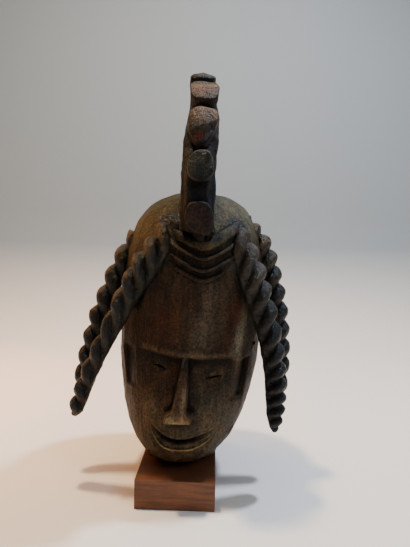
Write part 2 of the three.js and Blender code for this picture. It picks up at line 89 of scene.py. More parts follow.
# Hollow inside the head, and the neck below it
WALL = 15
HOLLOW_COLUMNS = 90
HOLLOW_ROWS = 70
HOLLOW_TOP = CROWN_HEIGHT - 17
HOLLOW_BOTTOM = 50
HOLLOW_CHIN_FORWARD = 45
NECK_FOOT = 37.3
NECK_TOP = 118
NECK_FRONT = -43
NECK_BACK = 98
NECK_HALF_WIDTH_FRONT = 50.5
NECK_HALF_WIDTH_BACK = 58
NECK_WALL = 12
NECK_POWER = 4
NECK_SIDES = 160
NECK_ROWS = 30
BORE_BELOW = 10
BORE_ABOVE = 12
BORE_ROWS = 12

# Lean and turn of the whole carving
LEAN = 17
LEAN_RISE = 190
HAIR_TURN = math.radians(8.5)
CREST_TURN = math.radians(4)
TURN_START = 185
TURN_FULL = 290
TURN_EASE_START = 320
TURN_EASE_END = 362

# Face
FACE_TOP = 260
FACE_FADE = 60
BROW_HEIGHT = 184.5
BROW_HALF_SPAN = 66
BROW_RISE = 0.085
BROW_TILT = 0.085
BROW_EDGE = 6
SOCKET_DEPTH = 8
SOCKET_HEIGHT = 56
LEFT_EYE = {"side": -34, "height": 172.5, "length": 21, "slope": -0.3, "arch": 2}
RIGHT_EYE = {"side": 38, "height": 160.2, "length": 22, "slope": 0.17, "arch": 0.5}
EYE_OPENING = 2.3
EYE_CUT = (-34, 9)
LEFT_LID = {"rise": -7, "reach": 11, "width": 5}
LEFT_LID_PROUD = 1.6
RIGHT_LID = {"rise": 6, "reach": 13, "width": 4}
RIGHT_LID_PROUD = 1.1
NOSE_TOP = 188
NOSE_BASE = 111
NOSE_FLARE_HEIGHT = 14
NOSE_RIDGE_TOP = 7
NOSE_RIDGE_LOW = 17
NOSE_FLARE_WIDTH = 31
NOSE_RIDGE_SHARE = 0.86
NOSE_FOOT_SPREAD = 4
NOSE_FOOT_GROWTH = 9
NOSE_TOP_PROUD = 1
NOSE_PROUD = 21
NOSE_PROUD_POWER = 0.9
NOSE_SLANT = 0.044
NOSE_SUNK = 12
MOUTH_SIDE = 1
MOUTH_HALF_SPAN = 40
MOUTH_TOP = 83.3
MOUTH_TOP_RISE = 18
MOUTH_RIGHT_RISE = 0.6
MOUTH_TOP_POWER = 2
MOUTH_FOOT = 69.8
MOUTH_FOOT_RISE = 30
MOUTH_FOOT_POWER = 3.2
MOUTH_DEPTH = 10
MOUTH_UNDERCUT = (0.42, 0.8)
MOUTH_CLEAR = 12
EAR_SIDE = 73
EAR_SPREAD = 7
EAR_HEIGHT = 161
EAR_LENGTH = 51
EAR_WIDTH = 17
EAR_DEPTH_FRONT = 1
LEFT_EAR_DEPTH = 4
RIGHT_EAR_DEPTH = 7
EAR_EDGE = 3
EAR_SHIFT = 1.5
EAR_TILT = 0.1
BROW_PROUD = 1.7
FOREHEAD_RIDGE = ((5.5, 201), (-6, 265))
FOREHEAD_RIDGE_STARTS = (188, 205)
FOREHEAD_RIDGE_ENDS = (255, 275)
FOREHEAD_RIDGE_WIDTH = 5
FOREHEAD_RIDGE_PROUD = 0.9
LIP_PROUD = 1.6
UPPER_LIP_PROUD = 0.9
LIP_GROOVE_DEPTH = 1.1
HOLE_CUT = (-40, 8)
WALL_HOLES = [
    {"side": 89.5, "height": 196, "width": 5, "rise": 6, "slant": 0},
    {"side": -42.3, "height": 57.8, "width": 9, "rise": 3.5, "slant": -0.3},
    {"side": 65.5, "height": 84.2, "width": 6, "rise": 4.5, "slant": 1.4},
]

# Hairline festoons, the lowest one first
FESTOONS = [
    {"height": 283, "start": -34, "end": 28, "width": 6, "proud": 2.5},
    {"height": 295, "start": -42, "end": 42, "width": 5, "proud": 5},
    {"height": 310, "start": -42, "end": 42, "width": 5, "proud": 5},
    {"height": 327, "start": -32, "end": 54, "width": 15, "proud": 6},
]
FESTOON_SIDE = 1
FESTOON_ROUND = 7
FESTOON_SAG_SPAN = 44
FESTOON_SAG = 26
FESTOON_POWER = 1.15
FESTOON_SUNK = 8
GROOVE_HEIGHTS = (289, 302.5, 317.5)
GROOVE_DEPTH = 1.3
GROOVE_WIDTH = 4
GROOVE_HALF_SPAN = 46

# Crest: a fin whose edge is a stretched half circle set with lobes
CREST_CENTRE_DEPTH = -2
CREST_CENTRE_HEIGHT = 380
CREST_REACH = 89
CREST_RISE = 168
CREST_ROOT_HEIGHT = 345
CREST_ROOT_SHARE = 0.3
CREST_OFFSET_LOW = -1.5
CREST_OFFSET_TOP = 4
CREST_SWAY_START = 405
CREST_SWAY_END = 515
CREST_HALF_SPAN = 30
CREST_STARTS = (326, 336)
FIN_ANGLES = (-0.22, math.pi + 0.1)
FIN_THICKNESS = 30
FIN_BEVEL = 6
FIN_THINNING = 0.3
FIN_THINNING_START = 475
FIN_THINNING_END = 540
WEDGE_FOOT = 321
WEDGE_TOP = 357
WEDGE_SIDE = -2
WEDGE_FOOT_HALF_WIDTH = 1
WEDGE_HALF_WIDTH = 14
WEDGE_FOOT_PROUD = 2
WEDGE_PROUD = 13
WEDGE_SUNK = 8
LOBE_SUNK = 14
LOBE_ROOT_SHARE = 0.9
# Rings of a lobe's flank: the share of its size, and how far they are out of the fin's edge
LOBE_FLANK = [(0.93, -7), (0.96, -2), (0.99, 3), (1, 6.5), (1, 9), (0.985, 10.3), (0.95, 11.1)]
LOBE_PROUD = 11.4
LOBE_FACE_SHARES = (0.88, 0.7, 0.45, 0.2, 0)
CRACK_HEIGHT = 520
CRACK_BRANCH_HEIGHT = 526
CRACK_BRANCH_STARTS = 519
CRACK_HALF_SPAN = 17
CRACK_DEPTH = 1.2
FACET_HEIGHT = 470
FACET_SLANT = 0.45
FACET_FOOT = 440
FACET_DEPTH = 2
FRONT_LOBES = [
    {"degrees": -7, "length": 40, "width": 34, "side": 2},
    {"degrees": 14, "length": 39, "width": 33, "side": 1.5, "corner": 0.95},
    {"degrees": 31.5, "length": 53, "width": 39, "taper": 0.25, "corner": 0.68, "dome": 3},
    {"degrees": 54, "length": 37, "width": 38, "taper": 0.12, "corner": 0.55},
    {"degrees": 76, "length": 34, "width": 35, "side": -1.5, "dome": 5},
]
BACK_LOBE_COUNT = 5
BACK_LOBE_FIRST = 97
BACK_LOBE_STEP = 19.5
BACK_LOBE_LENGTH = 36
BACK_LOBE_WIDTH = 34
BACK_LOBE_DOME = 3

# Braids of three twisted strands: radii, pitches and how steeply the strands cross the braid
# are given at equal steps from root to tip
STRANDS = 3
OUTER_SHARE = 0.6
STRAND_OFFSET = 0.5
STRAND_RADIUS = 0.5
INNER_RADIUS = 0.93
BRAID_ROWS = 260
BRAID_SIDES = 84
BRAIDS = [
    {
        "name": "left_front_braid",
        "handed": 1,
        "phase": 18,
        "tip_share": 0.08,
        "radii": [19, 19.5, 14.5, 12.5, 11.5],
        "pitches": [26, 25, 39, 31, 20],
        "steepness": [2.6, 2.5, 2.2, 1.5, 0.8],
        "route": [
            [-12, -50, 350], [-33, -66, 319], [-62, -66, 272],
            [-92.5, -57, 214], [-119, -52, 160], [-143, -48, 94],
        ],
    },
    {
        "name": "left_rear_braid",
        "handed": 1,
        "phase": 48,
        "tip_share": 0.08,
        "radii": [15, 15.5, 14.5, 12.5, 9.5],
        "pitches": [32, 32, 31, 28, 26],
        "steepness": [1.3, 1.1, 1.1, 1.0, 0.9],
        "route": [
            [-67, 4, 342], [-84, 2, 315], [-105, 0, 270],
            [-126, -2, 212], [-140, -6, 162], [-149, -12, 108],
        ],
    },
    {
        "name": "right_front_braid",
        "handed": -1,
        "phase": 31,
        "tip_share": 0.16,
        "radii": [18, 20, 17, 15, 13],
        "pitches": [28, 25, 29, 19, 13],
        "steepness": [2.5, 2.4, 2.0, 1.3, 0.8],
        "route": [
            [66, -40, 345], [82, -54, 316], [100, -60, 266],
            [118, -57, 205], [126, -55, 148], [127, -54, 83],
        ],
    },
    {
        "name": "right_rear_braid",
        "handed": -1,
        "phase": -8,
        "tip_share": 0.08,
        "radii": [15, 15.5, 14.5, 12.5, 9.5],
        "pitches": [20, 24, 27, 25, 26],
        "steepness": [1.4, 1.2, 1.2, 1.1, 1.0],
        "route": [
            [82, 10, 364], [110, 5, 330], [127, 3, 278],
            [138.5, 0, 214], [142, -4, 160], [139, -8, 108],
        ],
    },
]
CARVED_NODES = ["chin_and_neck", "mask", "crown", "crest", *(sizes["name"] for sizes in BRAIDS)]

# Wear: scoops of the tool with their width and how much taller they are, and waves of the
# surface, each with its height, the size of its cells and its seed. The seeds of the braids
# count up from the first one
SCOOP_MIDDLE = 0.6
SCOOP_RADIUS = 0.6
MOST_SCOOPS = 900
HEAD_SCOOPS = {"width": 17, "stretch": 1.7, "seed": 11}
CREST_SCOOPS = {"width": 13, "stretch": 1.3, "seed": 21}
BRAID_SCOOPS = {"width": 9, "stretch": 1.2}
BRAID_SCOOP_SHARE = 0.9
FIRST_BRAID_SEED = 31
HEAD_WAVES = [(0.7, 38, 3), (0.3, 9, 4), (0.15, 5, 8)]
CREST_WAVES = [(0.5, 24, 5), (0.45, 8, 7), (0.2, 4, 6)]
BRAID_WAVES = [(0.5, 9), (0.25, 3.5)]
RELIEF_ROUNDS = 10

# Camera of the photograph: place in millimetres, angles in degrees, lens in millimetres
CAMERA_PLACE = (44, -608, 317.8)
CAMERA_YAW = 1.38
CAMERA_PITCH = 2.77
CAMERA_ROLL = 1.23
CAMERA_LENS = 28
CAMERA_SENSOR = 36


# Numbers and curves


def signed_power(value, power):
    """The value's size raised to a power, with its sign kept."""
    return np.sign(value) * np.abs(value) ** power


def smooth_step(value, low, high):
    """0 below low, 1 above high, and a smooth rise between them."""
    share = np.clip((value - low) / (high - low), 0, 1)
    return share * share * (3 - 2 * share)


def mix(first, second, share):
    return first + (second - first) * share


def soft_floor(value, softness):
    """The value where it is well above zero, eased so that it never falls below zero."""
    return softness * np.logaddexp(0, value / softness)


def bell(value, width):
    """1 at zero, falling like a bell to about a third at the width."""
    return np.exp(-((value / width) ** 2))


def lean_at(height):
    return LEAN * (1 - np.exp((CHIN_HEIGHT - height) / LEAN_RISE))


def turn_at(height):
    turned = HAIR_TURN * smooth_step(height, TURN_START, TURN_FULL)
    eased = (HAIR_TURN - CREST_TURN) * smooth_step(height, TURN_EASE_START, TURN_EASE_END)
    return turned - eased


def bend(side, depth, height):
    """Turns points of the straight layout about the head's axis and leans them to the side."""
    side, depth, height = np.broadcast_arrays(side, depth, height)
    turn = turn_at(height)
    reach = depth - AXIS_DEPTH
    return np.stack(
        [
            lean_at(height) + side * np.cos(turn) - reach * np.sin(turn),
            AXIS_DEPTH + side * np.sin(turn) + reach * np.cos(turn),
            height,
        ],
        axis=-1,
    )


def unbend(points):
    """Side, depth and height of points in the straight layout: the reverse of bend."""
    height = points[:, 2]
    turn = turn_at(height)
    side = points[:, 0] - lean_at(height)
    reach = points[:, 1] - AXIS_DEPTH
    return (
        side * np.cos(turn) + reach * np.sin(turn),
        AXIS_DEPTH - side * np.sin(turn) + reach * np.cos(turn),
        height,
    )


def level_share(height, bottom, top):
    """How far a height is from the widest level, negative towards the chin."""
    below = (height - WIDEST_HEIGHT) / (WIDEST_HEIGHT - bottom)
    above = (height - WIDEST_HEIGHT) / (top - WIDEST_HEIGHT)
    return np.where(height < WIDEST_HEIGHT, below, above)


def power_at(share):
    return np.where(share < 0, PROFILE_POWER, CROWN_POWER)


def round_at(share):
    power = power_at(share)
    return np.clip(1 - np.abs(share) ** power, 0, 1) ** (1 / power)


def centre_depth_at(share, forward):
    below = AXIS_DEPTH - forward * np.abs(share) ** CHIN_FORWARD_POWER
    return np.where(share < 0, below, AXIS_DEPTH)


def on_head(side, height, out):
    """Points off the front or side of the head: side and height on it, and out from it."""
    share = level_share(height, CHIN_HEIGHT, CROWN_HEIGHT)
    half_width = HEAD_HALF_WIDTH * round_at(share)
    half_depth = HEAD_HALF_DEPTH * round_at(share)
    across = np.clip(side / half_width, -0.98, 0.98)
    forward = (1 - np.abs(across) ** SECTION_POWER) ** (1 / SECTION_POWER)
    slope_side = signed_power(across, SECTION_POWER - 1) / half_width
    slope_depth = forward ** (SECTION_POWER - 1) / half_depth
    slope = np.hypot(slope_side, slope_depth)
    depth = centre_depth_at(share, CHIN_FORWARD) - half_depth * forward
    return bend(side + out * slope_side / slope, depth - out * slope_depth / slope, height)


def equal_steps(path, weight, count):
    """Places along a fine path that cut it into count parts of equal weighted length."""
    steps = np.linalg.norm(np.diff(path, axis=0), axis=1) * (weight[1:] + weight[:-1]) / 2
    run = np.concatenate([[0], np.cumsum(steps)])
    return np.interp(np.linspace(0, run[-1], count + 1), run, np.linspace(0, 1, len(path)))


def smooth_noise(points, size, seed):
    """Even noise from -1 to 1: random values on a lattice of cells, blended smoothly."""
    lattice = np.random.default_rng(seed).uniform(-1, 1, (32, 32, 32))
    place = np.asarray(points, float) / size
    cell = np.floor(place).astype(int)
    share = place - cell
    share = share * share * (3 - 2 * share)
    total = 0
    for corner in np.ndindex(2, 2, 2):
        index = (cell + corner) % 32
        weight = np.prod(np.where(np.array(corner) == 1, share, 1 - share), axis=-1)
        total = total + weight * lattice[index[..., 0], index[..., 1], index[..., 2]]
    return total


def waves(points, layers):
    """Unevenness of a surface: the sum of some layers of noise."""
    return sum(height * smooth_noise(points, size, seed) for height, size, seed in layers)


def scoops(points, width, stretch, seed):
    """Scoops of an adze: each point's squared distance to the nearest of scattered middles.

    The middles are points of the surface itself, picked at random, about one for each square
    of the given width. Heights are squeezed by stretch first, so the scoops stand tall. The
    value lies below 0 in a scoop's middle and above 0 on the ridges between scoops.
    """
    squeezed = points * np.array([1, 1, 1 / stretch])
    low, high = squeezed.min(0), squeezed.max(0)
    extent = high - low
    area = 2 * (extent[0] * extent[1] + extent[1] * extent[2] + extent[0] * extent[2])
    count = min(int(area / width**2), len(points), MOST_SCOOPS)
    picked = np.random.default_rng(seed).choice(len(points), count, replace=False)
    middles = squeezed[picked]
    nearest = np.empty(len(points))
    batch = 4000
    for start in range(0, len(points), batch):
        part = squeezed[start : start + batch]
        apart = ((part[:, None, :] - middles[None, :, :]) ** 2).sum(-1)
        nearest[start : start + batch] = apart.min(1)
    return np.clip(nearest / (SCOOP_RADIUS * width) ** 2, 0, 2) - SCOOP_MIDDLE


# Meshes


def grid_quads(rows, columns, first=0):
    """Corner numbers of the quads between the points of a grid."""
    index = first + np.arange(rows * columns).reshape(rows, columns)
    quads = np.stack([index[:-1, :-1], index[1:, :-1], index[1:, 1:], index[:-1, 1:]], axis=-1)
    return quads.reshape(-1, 4)


def closed_surface(points):
    """Vertices and faces of rings of points, with the first and last ring drawn to a point."""
    rows, around = points.shape[:2]
    body = points[1:-1].reshape(-1, 3)
    vertices = np.vstack([body, points[0].mean(0), points[-1].mean(0)])
    ring = np.arange(around)
    after = (ring + 1) % around
    start = (np.arange(rows - 3) * around)[:, None]
    quads = np.stack(
        [start + ring, start + after, start + around + after, start + around + ring], axis=-1
    ).reshape(-1, 4)
    low_point, high_point = len(body), len(body) + 1
    last = (rows - 3) * around
    low_cap = np.stack([after, ring, np.full(around, low_point)], axis=-1)
    high_cap = np.stack([last + ring, last + after, np.full(around, high_point)], axis=-1)
    return vertices, quads.tolist() + low_cap.tolist() + high_cap.tolist()


def shaped_box(cells, place):
    """Surface of a unit box cut into cells, carried to a shape by place(along, up, out)."""
    shares, faces, count = [], [], 0
    for fixed in range(3):
        first, second = (fixed + 1) % 3, (fixed + 2) % 3
        for end in (0, 1):
            u, v = np.meshgrid(
                np.linspace(0, 1, cells[first] + 1),
                np.linspace(0, 1, cells[second] + 1),
                indexing="ij",
            )
            corner = np.full(u.shape + (3,), float(end))
            corner[..., first] = u
            corner[..., second] = v
            quads = grid_quads(*u.shape, count)
            faces.append(quads if end else quads[:, ::-1])
            shares.append(corner.reshape(-1, 3))
            count += u.size
    shares, index = np.unique(np.round(np.vstack(shares), 7), axis=0, return_inverse=True)
    faces = index.reshape(-1)[np.vstack(faces)]
    return place(shares[:, 0], shares[:, 1], shares[:, 2]), faces.tolist()


def make_object(name, shape):
    """A mesh object from vertices in millimetres and faces, with its faces turned outward."""
    vertices, faces = shape
    mesh = bpy.data.meshes.new(name)
    mesh.from_pydata((np.asarray(vertices) * MM).tolist(), [], faces)
    if signed_volume(mesh) < 0:
        mesh.flip_normals()
    return add_to_scene(name, mesh)


def add_to_scene(name, data):
    """A new object in the scene for a mesh, a light or a camera."""
    made = bpy.data.objects.new(name, data)
    bpy.context.scene.collection.objects.link(made)
    return made


def signed_volume(mesh):
    """Volume inside a closed mesh in cubic metres, below 0 where its faces look inward."""
    mesh.calc_loop_triangles()
    corners = np.empty(len(mesh.loop_triangles) * 3, np.int32)
    mesh.loop_triangles.foreach_get("vertices", corners)
    a, b, c = read_points(mesh)[corners].reshape(-1, 3, 3).transpose(1, 0, 2)
    return float((a * np.cross(b, c)).sum() / 6)


def read_vectors(mesh, kind):
    values = np.empty(len(mesh.vertices) * 3, np.float32)
    mesh.vertices.foreach_get(kind, values)
    return values.reshape(-1, 3).astype(float)


def read_points(mesh):
    return read_vectors(mesh, "co")


def write_points(mesh, points):
    mesh.vertices.foreach_set("co", points.astype(np.float32).ravel())
    mesh.update()


def push_out(obj, distance):
    """Moves each vertex along its normal by a distance in millimetres."""
    normals = read_vectors(obj.data, "normal")
    write_points(obj.data, read_points(obj.data) + normals * np.asarray(distance)[:, None] * MM)


def bake_modifiers(obj):
    """Puts what an object's modifiers make in place of its mesh."""
    evaluated = obj.evaluated_get(bpy.context.evaluated_depsgraph_get())
    result = bpy.data.meshes.new_from_object(evaluated)
    if not result.polygons:
        raise RuntimeError(f"nothing is left of {obj.name}")
    rough = obj.data
    obj.modifiers.clear()
    obj.data = result
    bpy.data.meshes.remove(rough)
    result.name = obj.name


def carve(body, joined=(), cut=()):
    """Joins some objects to a body and cuts others away, in that order, into one mesh."""
    for other, operation in [(o, "UNION") for o in joined] + [(o, "DIFFERENCE") for o in cut]:
        modifier = body.modifiers.new(operation.title(), "BOOLEAN")
        modifier.operation = operation
        modifier.solver = "MANIFOLD"
        modifier.object = other
    bake_modifiers(body)
    for other in [*joined, *cut]:
        spare = other.data
        bpy.data.objects.remove(other)
        bpy.data.meshes.remove(spare)


def neighbour_mean(values, ends, counts):
    """Each vertex's mean over its neighbours, with the mesh's edges given as pairs."""
    total = np.zeros_like(values)
    np.add.at(total, ends[:, 0], values[ends[:, 1]])
    np.add.at(total, ends[:, 1], values[ends[:, 0]])
    return total / (counts if values.ndim == 1 else counts[:, None])


def store_relief(obj, rounds):
    """Keeps on each vertex how far it stands out (above 0) or lies in (below 0).

    The surface is smoothed by some rounds of averaging over neighbours, and the value is
    the height of the real surface over the smoothed one along the normal, in millimetres.
    """
    mesh = obj.data
    ends = np.empty(len(mesh.edges) * 2, np.int32)
    mesh.edges.foreach_get("vertices", ends)
    ends = ends.reshape(-1, 2)
    counts = np.maximum(np.bincount(ends.ravel(), minlength=len(mesh.vertices)), 1)
    points = read_points(mesh) / MM
    smoothed = points
    for _ in range(rounds):
        smoothed = (smoothed + neighbour_mean(smoothed, ends, counts)) / 2
    relief = ((points - smoothed) * read_vectors(mesh, "normal")).sum(1)
    for _ in range(2):
        relief = (relief + neighbour_mean(relief, ends, counts)) / 2
    store_value(obj, "relief", relief)


def store_value(obj, name, values):
    """Keeps a number on each vertex under a name."""
    attribute = obj.data.attributes.new(name, "FLOAT", "POINT")
    attribute.data.foreach_set("value", np.asarray(values, np.float32))


def store_tone(obj, tone):
    """Keeps a colour on each vertex, as linear red, green and blue."""
    colour = np.ones((len(obj.data.vertices), 4), np.float32)
    colour[:, :3] = tone
    attribute = obj.data.attributes.new("tone", "FLOAT_COLOR", "POINT")
    attribute.data.foreach_set("color", colour.ravel())


def finish_piece(obj, material, nodes, sharp_degrees):
    """Shades a piece smooth up to its sharp edges, dresses it and ties it to the frame."""
    obj.data.shade_smooth()
    obj.data.set_sharp_from_angle(angle=math.radians(sharp_degrees))
    obj.data.materials.clear()
    obj.data.materials.append(material)
    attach(obj, "root")
    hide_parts(*nodes)


# Head and face


def meridian(latitude, bottom, top):
    """Upright outline at a latitude: place up it from -1 to 1, its roundness, and its height."""
    power = power_at(latitude)
    share = signed_power(np.sin(latitude), 2 / power)
    round_share = np.abs(np.cos(latitude)) ** (2 / power)
    half = np.where(share < 0, WIDEST_HEIGHT - bottom, top - WIDEST_HEIGHT)
    return share, round_share, half * share


def egg(half_width, half_depth, bottom, top, forward, around, rows, front_weight=1.0):
    """Egg of the head or its hollow, in rings from the chin to the crown.

    Heights follow a superellipse with one power below the widest level and another above it,
    and each ring is a superellipse too. The front gets closer columns by front_weight.
    """
    fine = np.linspace(-0.5, 0.5, FINE_STEPS) * math.pi
    _, round_share, rise = meridian(fine, bottom, top)
    outline = np.stack([half_depth * round_share, rise], axis=-1)
    latitude = (equal_steps(outline, np.ones(len(fine)), rows) - 0.5) * math.pi

    turn = np.linspace(0, 2 * math.pi, FINE_STEPS)
    ring = np.stack(
        [
            half_width * signed_power(np.sin(turn), 2 / SECTION_POWER),
            half_depth * signed_power(np.cos(turn), 2 / SECTION_POWER),
        ],
        axis=-1,
    )
    weight = 1 + (front_weight - 1) * smooth_step(np.cos(turn), -0.2, 0.6)
    longitude = equal_steps(ring, weight, around)[:-1] * 2 * math.pi

    longitude = longitude[None, :]
    share, round_share, rise = meridian(latitude[:, None], bottom, top)
    centre = centre_depth_at(share, forward)
    to_front = signed_power(np.cos(longitude), 2 / SECTION_POWER)
    nape = (AXIS_DEPTH + half_depth - centre) * round_share**NAPE_FULLNESS
    reach = np.where((to_front < 0) & (share < 0), nape, half_depth * round_share)
    points = bend(
        half_width * round_share * signed_power(np.sin(longitude), 2 / SECTION_POWER),
        centre - reach * to_front,
        WIDEST_HEIGHT + rise,
    )
    return closed_surface(points)


def hollow_egg():
    """The empty inside of the head, as a solid to cut away."""
    return egg(
        HEAD_HALF_WIDTH - WALL,
        HEAD_HALF_DEPTH - WALL,
        HOLLOW_BOTTOM,
        HOLLOW_TOP,
        HOLLOW_CHIN_FORWARD,
        HOLLOW_COLUMNS,
        HOLLOW_ROWS,
    )


def neck_prism(inset, foot, top, rows):
    """Upright collar of the neck: a rounded rectangle, wider behind, drawn up in rings."""
    angle = np.linspace(0, 2 * math.pi, NECK_SIDES + 1)[:-1]
    half_depth = (NECK_BACK - NECK_FRONT) / 2 - inset
    middle = (NECK_BACK + NECK_FRONT) / 2
    along = signed_power(np.sin(angle), 2 / NECK_POWER)
    half_width = mix(NECK_HALF_WIDTH_FRONT, NECK_HALF_WIDTH_BACK, (along + 1) / 2) - inset
    side = half_width * signed_power(np.cos(angle), 2 / NECK_POWER)
    depth = middle + half_depth * along
    rings = []
    for size, height in [(0, foot), *((1, z) for z in np.linspace(foot, top, rows)), (0, top)]:
        rings.append(
            np.stack(
                [side * size, middle + (depth - middle) * size, np.full(len(angle), height)],
                axis=-1,
            )
        )
    return closed_surface(np.array(rings))


def brow_line(side):
    return BROW_HEIGHT + BROW_RISE * np.abs(side) - BROW_TILT * side


def eye_plane_depth(side, height):
    """How deep the plane under the brow lies: deepest at the brow, running out on the cheek."""
    below = brow_line(side) - height
    down = np.clip(below / SOCKET_HEIGHT, 0, 1)
    fade = np.clip(1 - np.abs(side / BROW_HALF_SPAN) ** 3, 0, 1)
    return SOCKET_DEPTH * (1 - down) ** 0.8 * fade * smooth_step(below, -1.5, BROW_EDGE - 1.5)


def eye_line(eye, side):
    """Height of an eye's slit at a side: a sloping arch."""
    reach = side - eye["side"]
    return eye["height"] + eye["slope"] * reach - eye["arch"] * (2 * reach / eye["length"]) ** 2


def eye_swelling(eye, side, height, rise, reach, width):
    """1 in the middle of the lid that swells beside a slit, at a rise over the slit's line."""
    return bell(side - eye["side"], reach) * bell(height - eye_line(eye, side) - rise, width)


def eye_slit(eye):
    """A narrow lens through the wall that follows the eye's line."""

    def place(along, up, out):
        side = eye["side"] + (along - 0.5) * eye["length"]
        opening = EYE_OPENING * (1.1 - (2 * along - 1) ** 2)
        height = eye_line(eye, side) + (up - 0.5) * opening
        return on_head(side, height, mix(*EYE_CUT, out))

    return shaped_box(cells=(20, 3, 2), place=place)


def nose():
    """Long wedge with a flat ridge that flares into a level end."""

    def place(across, up, out):
        height = mix(NOSE_BASE, NOSE_TOP, up)
        down = 1 - up
        flare = 1 - smooth_step(height - NOSE_BASE, NOSE_FLARE_HEIGHT * 0.4, NOSE_FLARE_HEIGHT)
        ridge = mix(NOSE_RIDGE_TOP, NOSE_RIDGE_LOW, down)
        width = ridge + (NOSE_FLARE_WIDTH - NOSE_RIDGE_LOW) * flare
        foot = width + NOSE_FOOT_GROWTH * down + NOSE_FOOT_SPREAD
        proud = mix(NOSE_TOP_PROUD, NOSE_PROUD, down**NOSE_PROUD_POWER)
        breadth = mix(foot, width * NOSE_RIDGE_SHARE, out)
        side = (across - 0.5) * breadth - NOSE_SLANT * (NOSE_TOP - height)
        return on_head(side, height, mix(-NOSE_SUNK, proud, out))

    return shaped_box(cells=(14, 60, 14), place=place)


def mouth_lines(side):
    """Heights of the crescent's top and foot at a side, and how far out it is, -1 to 1."""
    share = (side - MOUTH_SIDE) / MOUTH_HALF_SPAN
    rise = mix(1, MOUTH_RIGHT_RISE, smooth_step(share, 0.2, 1))
    top = MOUTH_TOP + MOUTH_TOP_RISE * rise * np.abs(share) ** MOUTH_TOP_POWER
    foot = MOUTH_FOOT + MOUTH_FOOT_RISE * rise * np.abs(share) ** MOUTH_FOOT_POWER
    return top, foot, share


def mouth_cut():
    """A crescent between the lips, undercut at its top and running out on the lower lip."""

    def place(along, up, out):
        side = MOUTH_SIDE + MOUTH_HALF_SPAN * (2 * along - 1)
        top, foot, share = mouth_lines(side)
        depth = MOUTH_DEPTH * (1.05 - share**2)
        depth = depth * (0.1 + 0.9 * smooth_step(up, *MOUTH_UNDERCUT))
        return on_head(side, mix(foot, top, up), out * MOUTH_CLEAR - depth * (1 - out))

    return shaped_box(cells=(60, 12, 2), place=place)


def ear_depth(side, height, hand):
    """How deep the slanting recess at a temple lies: soft at its edge and deeper to the rear."""
    rise = (height - EAR_HEIGHT + EAR_TILT * hand * EAR_SIDE) / EAR_LENGTH
    reach = hand * (side + EAR_SHIFT) - EAR_SIDE - EAR_SPREAD * rise
    deepest = LEFT_EAR_DEPTH if hand < 0 else RIGHT_EAR_DEPTH
    depth = mix(EAR_DEPTH_FRONT, deepest, np.clip(reach / EAR_WIDTH + 0.5, 0, 1))
    inside = smooth_step(EAR_WIDTH / 2 - np.abs(reach), -EAR_EDGE / 2, EAR_EDGE / 2)
    return depth * inside * smooth_step((0.5 - np.abs(rise)) * EAR_LENGTH, -EAR_EDGE, EAR_EDGE)


def wall_hole(side, height, width, rise, slant):
    """A drilled hole or chiselled slot through the wall."""

    def place(across, up, out):
        along = (across - 0.5) * width
        level = height + (up - 0.5) * rise + slant * along
        return on_head(side + along, level, mix(*HOLE_CUT, out))

    return shaped_box(cells=(2, 2, 2), place=place)


def festoon_line(height, side):
    reach = np.hypot(side - FESTOON_SIDE, FESTOON_ROUND) - FESTOON_ROUND
    return height + FESTOON_SAG * (reach / FESTOON_SAG_SPAN) ** FESTOON_POWER


def festoon(height, start, end, width, proud):
    """One ridge of the hairline, round in section, with a blunt V at the middle."""

    def place(along, up, out):
        side = mix(start, end, along)
        level = festoon_line(height, side) + (up - 0.5) * width
        ridge = np.clip(1 - (2 * up - 1) ** 4, 0, 1) ** 0.6
        ends = smooth_step(np.minimum(along, 1 - along), 0, 0.08)
        rise = proud * (0.1 + 0.9 * ridge) * (0.3 + 0.7 * ends)
        return on_head(side, level, mix(-FESTOON_SUNK, rise, out))

    return shaped_box(cells=(60, 8, 3), place=place)


def ridge_line(height):
    """Side of the forehead's low ridge at a height: it runs a little aslant."""
    (foot_side, foot), (top_side, top) = FOREHEAD_RIDGE
    return mix(foot_side, top_side, (height - foot) / (top - foot))


def head_relief(points, tool_depth):
    """Low carving on the head's skin, in millimetres out: planes, brow, lids, grooves and lips."""
    side, depth, height = unbend(points)
    front = smooth_step(AXIS_DEPTH - depth, 0, 40)
    face = smooth_step(FACE_TOP - height, 0, FACE_FADE) * front
    worn = tool_depth * scoops(points, **HEAD_SCOOPS) + waves(points, HEAD_WAVES)
    brow = BROW_PROUD * bell(height - brow_line(side) - 5, 5)
    brow = brow * smooth_step(BROW_HALF_SPAN - 2 - np.abs(side), 0, 12)
    ridge = FOREHEAD_RIDGE_PROUD * bell(side - ridge_line(height), FOREHEAD_RIDGE_WIDTH)
    ridge = ridge * smooth_step(height, *FOREHEAD_RIDGE_STARTS)
    ridge = ridge * (1 - smooth_step(height, *FOREHEAD_RIDGE_ENDS))
    left_lid = LEFT_LID_PROUD * eye_swelling(LEFT_EYE, side, height, **LEFT_LID)
    right_lid = RIGHT_LID_PROUD * eye_swelling(RIGHT_EYE, side, height, **RIGHT_LID)
    top, foot, share = mouth_lines(side)
    inside = smooth_step(1.05 - np.abs(share), 0, 0.25)
    lips = LIP_PROUD * bell(height - foot + 0.5, 2.5) - LIP_GROOVE_DEPTH * bell(height - foot + 8, 4)
    lips = (lips + UPPER_LIP_PROUD * bell(height - top - 2.5, 3)) * inside
    grooves = GROOVE_DEPTH * sum(
        bell(height - festoon_line(middle, side), GROOVE_WIDTH) for middle in GROOVE_HEIGHTS
    )
    grooves = grooves * smooth_step(GROOVE_HALF_SPAN - np.abs(side), 0, 10) * front
    carved = brow + ridge + left_lid + right_lid + lips - eye_plane_depth(side, height)
    carved = carved - ear_depth(side, height, -1) - ear_depth(side, height, 1)
    return worn + carved * face - grooves


